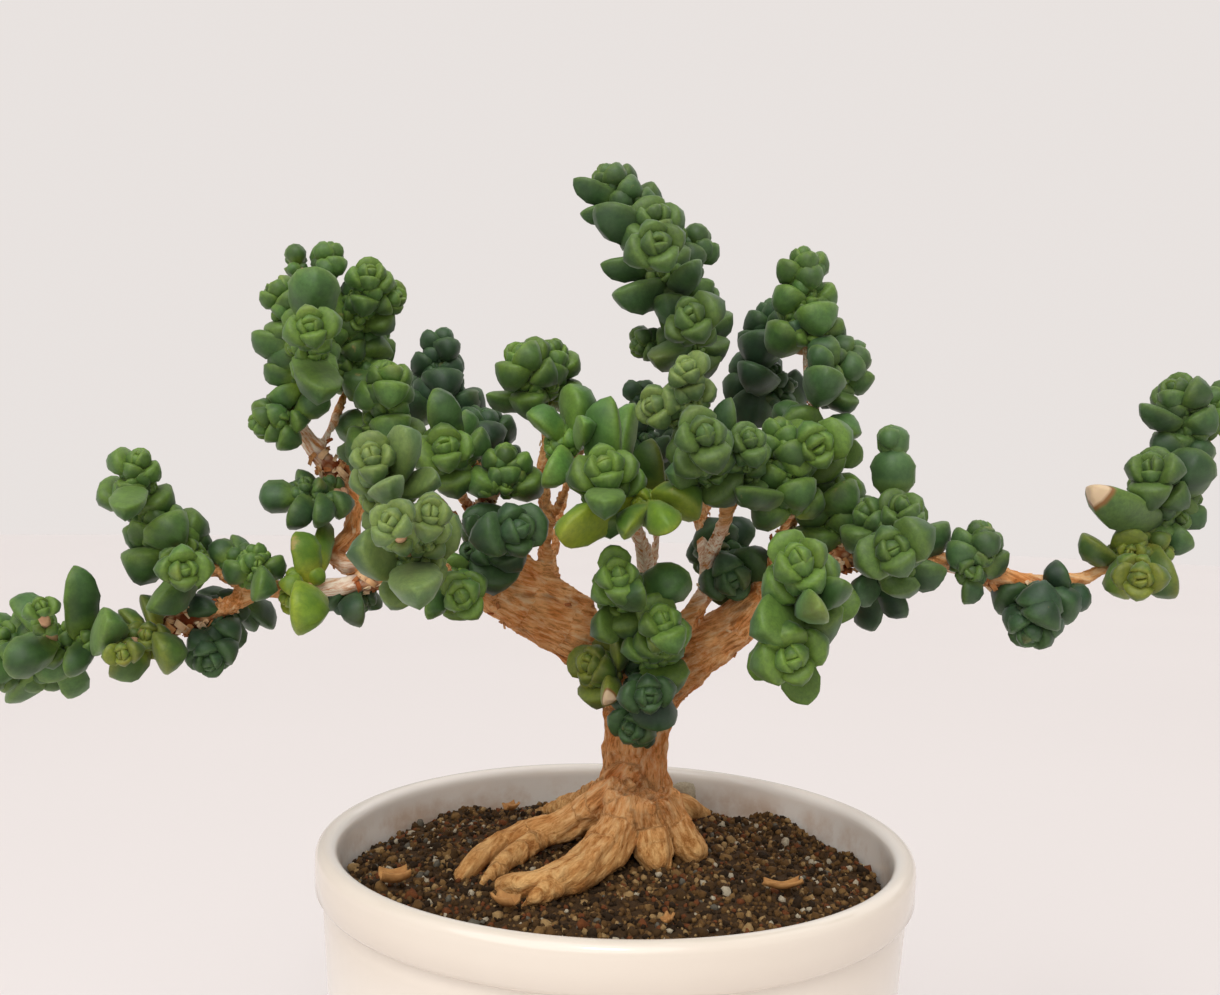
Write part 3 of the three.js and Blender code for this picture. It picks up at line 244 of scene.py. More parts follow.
tree.links.new(stained.outputs[2], shader.inputs["Base Color"])
ripple = add(tree, "Bump", {"Strength": 0.12, "Distance": mm(0.3)}, {"Height": uneven})
tree.links.new(ripple.outputs[0], shader.inputs["Normal"])
print("finish", cream_glaze.name)

# %% [markdown]
# The pot is turned on a wheel, so it is round all the way. A circle is added at its foot and
# drawn up ring by ring in edit mode, over the rounded lip and down the inside. The smooth band
# under the lip stands a millimetre proud, with a small step below it.

# %% The pot, drawn up ring by ring
RIM = 110 / 2
HIGH = 95
FOOT = 94 / 2
WALL = 4
BAND = HIGH - 8.5
FLOOR = 5
under = RIM - 1


def inside_at(z):
    return FOOT - WALL + (RIM - FOOT) * z / (HIGH - 2.2)


rings = [(FOOT - 1.2, 0), (FOOT - 0.4, 0.3), (FOOT, 1.2), (FOOT + 0.6, 8), (under - 0.62, BAND - 3.2),
         (under - 0.62, BAND - 2.2), (under - 0.75, BAND - 0.5), (under - 0.65, BAND - 0.1),
         (under + 0.4, BAND + 0.5), (RIM - 0.1, BAND + 1.3), (RIM, HIGH - 4), (RIM, HIGH - 2.4)]
LIP = 2
for k in range(1, 12):
    turn = math.pi * k / 12
    rings.append((RIM - LIP + LIP * math.cos(turn), HIGH - LIP + LIP * math.sin(turn)))
rings += [(RIM - WALL, HIGH - 2.4), (inside_at(FLOOR + 4), FLOOR + 4), (inside_at(FLOOR) - 0.8, FLOOR + 1),
          (inside_at(FLOOR) - 3, FLOOR)]

bpy.ops.object.select_all(action="DESELECT")
bpy.ops.mesh.primitive_circle_add(vertices=144, radius=mm(rings[0][0]), fill_type="NGON")
pot = made("glazed_pot")
bpy.ops.object.mode_set(mode="EDIT")
bpy.ops.mesh.select_all(action="DESELECT")
bpy.ops.mesh.select_mode(type="EDGE")
bpy.ops.mesh.select_all(action="SELECT")
for (r_before, z_before), (r, z) in zip(rings, rings[1:]):
    if z_before == 0 and r_before == rings[0][0]:
        bpy.ops.mesh.region_to_loop()
    bpy.ops.mesh.extrude_edges_move(TRANSFORM_OT_translate={"value": (0, 0, mm(z - z_before))})
    bpy.ops.transform.resize(value=(r / r_before, r / r_before, 1), center_override=(0, 0, mm(z)))
bpy.ops.mesh.edge_face_add()
bpy.ops.mesh.select_all(action="SELECT")
bpy.ops.mesh.normals_make_consistent(inside=False)
bpy.ops.mesh.select_mode(type="VERT")
bpy.ops.object.mode_set(mode="OBJECT")
print("pot rings", len(rings), "lip at", round(1000 * max(v.co.z for v in pot.data.vertices), 2), "mm")

# %% [markdown]
# Water has to leave the pot, so five holes stand round the middle of its floor. Each is cut by
# a round bar that goes through the floor, as a potter cuts them with a tube before firing.

# %% The drain holes
DRAINS = 5
DRAIN_WIDE = 9
DRAIN_OUT = 24
for k in range(DRAINS):
    turn = 2 * math.pi * (k + 0.25) / DRAINS
    bpy.ops.object.select_all(action="DESELECT")
    place = mm(DRAIN_OUT * math.cos(turn), DRAIN_OUT * math.sin(turn), 2)
    bpy.ops.mesh.primitive_cylinder_add(vertices=32, radius=mm(DRAIN_WIDE / 2), depth=mm(FLOOR + 6),
                                        location=place)
    bar = made("drain_bar")
    finish_with(pot, "BOOLEAN", operation="DIFFERENCE", object=bar, solver="EXACT")
    bpy.data.objects.remove(bar)
alone(pot)
bpy.ops.object.shade_smooth_by_angle(angle=math.radians(35))
pot.data.materials.clear()
pot.data.materials.append(cream_glaze)
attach(pot, "root")
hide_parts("pot")
print("pot faces", len(pot.data.polygons))

# %% [markdown]
# The wood is living bark over a thick water-storing trunk. On the trunk and the thick limbs it
# is orange brown, with cracks that run along the limb. The roots have lost that bark and are a
# smooth golden tan. On the twigs old leaf sheaths dry to buff paper over red-brown wood.
# For cracks that follow each limb, a short list of limb routes gives the way of the grain.

# %% The way of the grain
GRAIN_SEEN = {
    "trunk": [
        (633, 822, 17), (633, 800, 15), (633, 775, 14), (634, 745, 13), (637, 715, 12.5),
        (642, 688, 12), (640, 668, 11),
    ],
    "left_limb": [
        (642, 692, 12), (600, 650, 9), (560, 628, 7), (522, 605, 4), (492, 588, 1), (468, 572, -2),
    ],
    "right_limb": [
        (644, 694, 12), (676, 668, 10), (708, 645, 7), (738, 622, 4), (764, 592, 2), (800, 575, 0),
        (840, 556, -2),
    ],
    "right_reach": [
        (836, 556, -2), (885, 557, -6), (945, 563, -9), (990, 575, -9), (1035, 584, -8),
        (1085, 580, -7), (1108, 566, -6),
    ],
    "left_reach": [
        (478, 572, -2), (430, 572, -6), (385, 578, -9), (340, 586, -12), (290, 590, -15),
        (245, 588, -17),
    ],
    "high_left": [
        (392, 577, -8), (345, 566, -6), (330, 556, -5), (352, 532, -4), (356, 505, -3),
        (338, 480, -3), (317, 452, -3), (302, 430, -3), (298, 408, -5), (300, 390, -8),
    ],
}
GRAIN_ON_SOIL = {
    "root_left": [
        (622, 790, 102), (600, 806, 97.5), (578, 817, 95), (553, 829, 93), (527, 834, 91.8),
        (500, 846, 90.6), (474, 866, 89.4), (458, 879, 88.2),
    ],
    "root_front": [
        (630, 796, 101), (618, 826, 95.5), (602, 852, 92.6), (580, 872, 91.2), (550, 886, 90.4),
        (520, 890, 89.6), (498, 889, 88.3),
    ],
    "root_middle": [
        (644, 798, 101), (650, 828, 95), (655, 852, 91.5), (659, 872, 89),
    ],
    "root_right": [
        (657, 796, 101), (672, 820, 96), (685, 842, 92.2), (695, 860, 89.2),
    ],
}
GRAIN_LINES = {name: [at(*row) for row in rows] for name, rows in GRAIN_SEEN.items()}
GRAIN_LINES |= {name: [on_ground(*row) for row in rows] for name, rows in GRAIN_ON_SOIL.items()}
# This root isn't seen: it runs off behind the trunk, in millimetres
GRAIN_LINES["root_back"] = [(4, 17, 100), (9, 24, 94), (15, 31, 90.5), (20, 36, 88)]


def grain_at(point):
    """Where a point lies in the grain of the nearest limb: round it twice, and along it."""
    best = None
    for number, (start, end, run) in enumerate(stretches):
        t = (point - start).dot(end - start) / (end - start).length_squared
        place = start.lerp(end, min(max(t, 0), 1))
        away = (point - place).length
        if best is None or away < best[0]:
            best = (away, number, place, run + (place - start).length)
    away, number, place, along = best
    out = point - place
    return Vector((out.x + 0.013 * stretches[number][0].z, out.y - out.z * 0.6, out.z * 0.8)), along


stretches = []
for route in GRAIN_LINES.values():
    run = 0
    for a, b in zip(route, route[1:]):
        stretches.append((mm(*a), mm(*b), run))
        run += (mm(*b) - mm(*a)).length
print(len(stretches), "stretches of limb")

# %% [markdown]
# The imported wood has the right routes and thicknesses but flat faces. A copy of it is wrapped
# in an even fine skin by a voxel remesh, smoothed a little, and then each vertex is moved in
# or out. Ridges come from a noise that is stretched along the grain, and knobs from a rounder
# one. The marks attribute keeps what the finish needs: crack depth, age and paper.

# %% The wood
VOXEL = 0.55
ROOTS_BELOW = 104
ROOT_SWELL = 1.0
PAPERY = [(*at(335, 585, -12), 8), (*at(310, 440, -3), 8), (*at(120, 638, -21), 7),
          (*at(805, 362, 3), 5), (*at(815, 412, 2), 4), (*at(640, 560, 1), 12),
          (*at(708, 558, 1), 10), (4, -6, 156, 9),
          (91, -6, 141, 6), (45, -6, 143, 4), (-27, 0, 160, 5), (60, -9, 144, 5)]
FLAKY = [(*at(367, 577, -9), 5), (*at(187, 622, -19), 8), (-54, -3, 161, 6), (*at(487, 510, -3), 7),
         (-56, -8, 147, 6), (64, -9, 142, 6), (76, -8, 141, 6), (42, -4, 147, 6), (30, 3, 150, 5),
         (0, 3, 136, 6)]

wood = copy_of("wood", "bark_and_roots")
finish_with(wood, "REMESH", mode="VOXEL", voxel_size=mm(VOXEL), use_smooth_shade=True)
finish_with(wood, "SMOOTH", factor=0.5, iterations=3)


def near(point, spots):
    return max(max(0, 1 - (point - mm(*spot[:3])).length / mm(spot[3])) for spot in spots)


def ramp(none, full, height):
    """0 at one height in mm, 1 at the other, and evenly between them."""
    return min(max((height - mm(none)) / mm(full - none), 0), 1)


def bark_marks(point):
    across, along = grain_at(point)
    cracks = noise.noise(across * per(1.9) + Vector((0, 0, along * per(8))))
    fine = noise.noise(across * per(0.85) + Vector((3, 0, along * per(2.6))))
    knobs = noise.noise(point * per(5))
    root = ramp(ROOTS_BELOW, ROOTS_BELOW - 12, point.z)
    paper = min(1, 2.4 * near(point, PAPERY))
    flaky = min(1, 1.6 * near(point, FLAKY))
    return cracks, fine, knobs, root, paper, flaky, across + Vector((0, 0, 0.22 * along))


def root_flutes(point):
    turn = math.atan2(point.y - mm(13), point.x - mm(3))
    return math.sin(7 * turn + 1.5 * noise.noise(point * per(14))) * (1 if point.z > mm(96) else 0.4)


marks = np.empty((len(wood.data.vertices), 4))
moved = np.empty((len(wood.data.vertices), 3))
ways = np.empty((len(wood.data.vertices), 3))
for i, vertex in enumerate(wood.data.vertices):
    cracks, fine, knobs, root, paper, flaky, ways[i] = bark_marks(vertex.co)
    slim = 0.5 if vertex.co.z > mm(134) and abs(vertex.co.x) > mm(6) else 1
    ridge = (1 - abs(cracks) * 2.6) * (0.5 - 0.12 * root) + fine * (0.4 - 0.1 * root)
    lift = ridge * (1 - 0.7 * paper) + 0.45 * knobs * (1 + flaky)
    swell = ROOT_SWELL * ramp(98, 90, vertex.co.z) * ramp(88.5, 91.5, vertex.co.z)
    flute = 0.5 * root_flutes(vertex.co) * ramp(124, 114, vertex.co.z)
    moved[i] = vertex.co + vertex.normal * mm((lift + flute) * slim + swell)
    marks[i] = (0.5 + 0.35 * cracks + 0.4 * fine, paper, root, flaky)
wood.data.vertices.foreach_set("co", moved.ravel())
wood.data.color_attributes.new("marks", "FLOAT_COLOR", "POINT").data.foreach_set("color", marks.ravel())
wood.data.attributes.new("grain", "FLOAT_VECTOR", "POINT").data.foreach_set("vector", ways.ravel())
wood.data.update()
print("wood faces", len(wood.data.polygons))

# %% [markdown]
# Bark is dead cork that the growing wood splits, so it is rough and dry all over. Its colour is
# built from the inside out. Two orange browns mix by a noise of about 4 mm, raised fibres are
# paler and sunk ones darker, and cracks sink to a dark red brown. Then roots turn golden, papery
# sheaths turn buff in strands, and flaky places get rusty scales from a cell pattern. The marks
# hold how open a crack is (red), paper (green), root (blue) and flaky (alpha).

# %% Finish: bark
bark, tree, shader = new_finish("fissured_bark", Roughness=0.86, Specular_IOR_Level=0.25)
where = add(tree, "TexCoord").outputs["Object"]
grain = add(tree, "Attribute", {"attribute_name": "grain"})
kept = add(tree, "Attribute", {"attribute_name": "marks"})
split = add(tree, "SeparateColor", None, {0: kept.outputs["Color"]})
mottle = add(tree, "TexNoise", {"Scale": per(4), "Detail": 5, "Roughness": 0.6}, {"Vector": where})
speck = add(tree, "TexNoise", {"Scale": per(0.8), "Detail": 4, "Roughness": 0.7}, {"Vector": where})
fibres = add(tree, "TexNoise", {"Scale": per(0.75), "Detail": 5, "Roughness": 0.72},
             {"Vector": grain.outputs["Vector"]})
patch = add(tree, "MapRange", {"From Min": 0.38, "From Max": 0.62}, {0: mottle})
strand = add(tree, "MapRange", {"From Min": 0.36, "From Max": 0.64}, {0: fibres})
body = add(tree, "Mix", {"data_type": "RGBA", 6: linear("#dd8c4a"), 7: linear("#f4b474")}, {0: patch})
lifted = add(tree, "Mix", {"data_type": "RGBA", 7: linear("#fbd8aa")}, {0: add(
    tree, "MapRange", {"From Min": 0.45, "From Max": 1, "To Max": 0.75}, {0: strand}),
    6: body})
sunk = add(tree, "Mix", {"data_type": "RGBA", 7: linear("#91501f")}, {0: add(
    tree, "MapRange", {"From Min": 0.42, "From Max": 0, "To Max": 0.72}, {0: strand}),
    6: lifted})
depth = add(tree, "MapRange", {"From Min": 0.4, "From Max": 0.12, "To Max": 0.6}, {0: split.outputs[0]})
cracked = add(tree, "Mix", {"data_type": "RGBA", 7: linear("#582c16")}, {0: depth, 6: sunk})
root_tone = add(tree, "Mix", {"data_type": "RGBA", 6: linear("#a06830"), 7: linear("#e8b873")},
                {0: strand})
half = add(tree, "Math", {"operation": "MULTIPLY", 1: 0.78}, {0: split.outputs[2]})
rooted = add(tree, "Mix", {"data_type": "RGBA"}, {0: half, 6: cracked, 7: root_tone})
peel = add(tree, "MapRange", {"From Min": 0.1, "From Max": 0.75}, {0: strand})
buff = add(tree, "Mix", {"data_type": "RGBA", 6: linear("#d08a52"), 7: linear("#fff0dc")}, {0: peel})
papered = add(tree, "Mix", {"data_type": "RGBA"}, {0: split.outputs[1], 6: rooted, 7: buff})
scales = add(tree, "TexVoronoi", {"Scale": per(1.6), "feature": "F1"}, {"Vector": where})
rust = add(tree, "ValToRGB", None, {0: scales.outputs["Distance"]})
rust.color_ramp.elements[0].color = linear("#e0b98c")
rust.color_ramp.elements[1].color = linear("#7c3a17")
rust.color_ramp.elements[1].position = 0.6
flaked = add(tree, "Mix", {"data_type": "RGBA"}, {0: kept.outputs["Alpha"], 6: papered, 7: rust})
tree.links.new(flaked.outputs[2], shader.inputs["Base Color"])
heights = add(tree, "Math", {"operation": "MULTIPLY_ADD", 1: 1.6}, {0: fibres, 2: speck})
rough = add(tree, "Math", {"operation": "MULTIPLY_ADD", 1: -0.6, 2: 0.85}, {0: split.outputs[1]})
relief = add(tree, "Bump", {"Distance": mm(0.55)}, {"Height": heights, "Strength": rough})
tree.links.new(relief.outputs[0], shader.inputs["Normal"])
wood.data.materials.append(bark)
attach(wood, "root")
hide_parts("wood")
print("finish", bark.name)

# %% [markdown]
# Many things here are one shape set down again and again: leaves, grains, flakes. Such a shape
# is modelled once. This helper copies it to each place with a mesh of its own, and writes the
# marks of every copy, so that a finish can make each copy a little different.

# %% Setting down copies of one shape
def set_down(name, shape, places, tones):
    points = np.array([v.co for v in shape.data.vertices])
    own = np.ones((len(points), 4)) * 0.5
    if "marks" in shape.data.color_attributes:
        own = np.array([d.color[:] for d in shape.data.color_attributes["marks"].data])
    corners = [tuple(f.vertices) for f in shape.data.polygons]
    spots, sides, colours = [], [], []
    for k, place in enumerate(places):
        turned = np.array(place)
        spots.append(points @ turned[:3, :3].T + turned[:3, 3])
        sides.extend(tuple(c + k * len(points) for c in face) for face in corners)
        colours.append(np.column_stack([own[:, :2], np.tile(tones[k], (len(points), 1))]))
    mesh = bpy.data.meshes.new(name)
    mesh.from_pydata(np.vstack(spots).tolist(), [], sides)
    mesh.color_attributes.new("marks", "FLOAT_COLOR", "POINT").data.foreach_set(
        "color", np.vstack(colours).ravel())
    mesh.shade_smooth()
    piece = bpy.data.objects.new(name, mesh)
    bpy.context.scene.collection.objects.link(piece)
    return piece


def draws(start):
    state = start
    while True:
        state = (state * 16807) % 2147483647
        yield state / 2147483647


def frame_of(place, side, forward, upward):
    turned = Matrix((side, forward, upward)).transposed().to_4x4()
    return Matrix.Translation(place) @ turned


# %% [markdown]
# A leaf is a fat little boat: its inner face is flat, its back is a rounded keel, it is narrow
# where it joins its pair and blunt at the tip. It starts as a low sphere whose poles are the
# root and the tip, and edit mode flattens, pinches and swells its rings. Four grades are made,
# because the small leaves are there in thousands and may have only a few dozen faces. Marks
# tell the finish how far along the leaf a point is (red), how near to its flat inner face
# (green), a tone of its own for each copy (blue) and how young it is (alpha).

# %% One leaf, in four grades
def leaf_shape(name, around, rings):
    bpy.ops.object.select_all(action="DESELECT")
    bpy.ops.mesh.primitive_uv_sphere_add(segments=around, ring_count=rings, radius=0.5)
    leaf = made(name)
    bpy.ops.object.mode_set(mode="EDIT")
    bpy.ops.mesh.select_all(action="SELECT")
    bpy.ops.transform.rotate(value=math.pi / 2, orient_axis="X", center_override=(0, 0, 0))
    pick(lambda p: p.y < -0.2)
    bpy.ops.transform.resize(value=(0.84, 1, 0.9), center_override=(0, 0, 0))
    pick(lambda p: 0.1 < p.y < 0.49)
    bpy.ops.transform.resize(value=(1.14, 1, 1.14), center_override=(0, 0, 0))
    pick(lambda p: 0.36 < p.y < 0.49)
    bpy.ops.transform.resize(value=(1.06, 1, 1.1), center_override=(0, 0, 0))
    pick(lambda p: p.y > 0.495)
    bpy.ops.transform.translate(value=(0, 0.018, 0))
    pick(lambda p: p.z > 0.02)
    bpy.ops.transform.resize(value=(1.04, 1, 0.3), center_override=(0, 0, 0))
    pick(lambda p: p.z < -0.1 and abs(p.x) > 0.05)
    bpy.ops.transform.resize(value=(0.9, 1, 1), center_override=(0, 0, 0))
    pick(lambda p: p.z < -0.1 and abs(p.x) < 0.05)
    bpy.ops.transform.translate(value=(0, 0, -0.06))
    bpy.ops.object.mode_set(mode="OBJECT")
    low = [min(v.co[k] for v in leaf.data.vertices) for k in range(3)]
    high = [max(v.co[k] for v in leaf.data.vertices) for k in range(3)]
    kept = leaf.data.color_attributes.new("marks", "FLOAT_COLOR", "POINT").data
    for i, vertex in enumerate(leaf.data.vertices):
        x, y, z = vertex.co
        vertex.co = (x / (high[0] - low[0]), (y - low[1]) / (high[1] - low[1]), z / (high[2] - low[2]))
        inner = min(1, max(0, 1 + 5 * vertex.co.z))
        kept[i].color = (vertex.co.y, inner, 0.5, 0)
    return leaf


GRADES = [(mm(9), leaf_shape("big_leaf", 18, 13)), (mm(6.5), leaf_shape("large_leaf", 12, 9)),
          (mm(3.2), leaf_shape("middle_leaf", 10, 7)), (0, leaf_shape("small_leaf", 8, 5))]
print("faces of a leaf:", [len(shape.data.polygons) for size, shape in GRADES])

# %% [markdown]
# A joint of stem is a short rod with eight sides and rounded ends, between two pairs of leaves.

# %% One joint of stem
bpy.ops.object.select_all(action="DESELECT")
bpy.ops.mesh.primitive_cylinder_add(vertices=8, radius=0.5, depth=1)
joint = made("stem_joint")
bpy.ops.object.mode_set(mode="EDIT")
pick(lambda p: True)
bpy.ops.mesh.bevel(offset=0.12, segments=1, affect="EDGES")
bpy.ops.transform.translate(value=(0, 0, 0.5))
bpy.ops.object.mode_set(mode="OBJECT")
print("joint faces", len(joint.data.polygons))

# %% [markdown]
# Each head is written as it was read off the photo: its look, the route of its stem, its shoots
# and its large single leaves. A shoot has the pixel and depth where it starts and where it ends,
# its pairs of leaves, the pixels that its lowest and highest leaf span, and the turn of its
# first pair. A large leaf has its base, its tip and the pixels of its width.

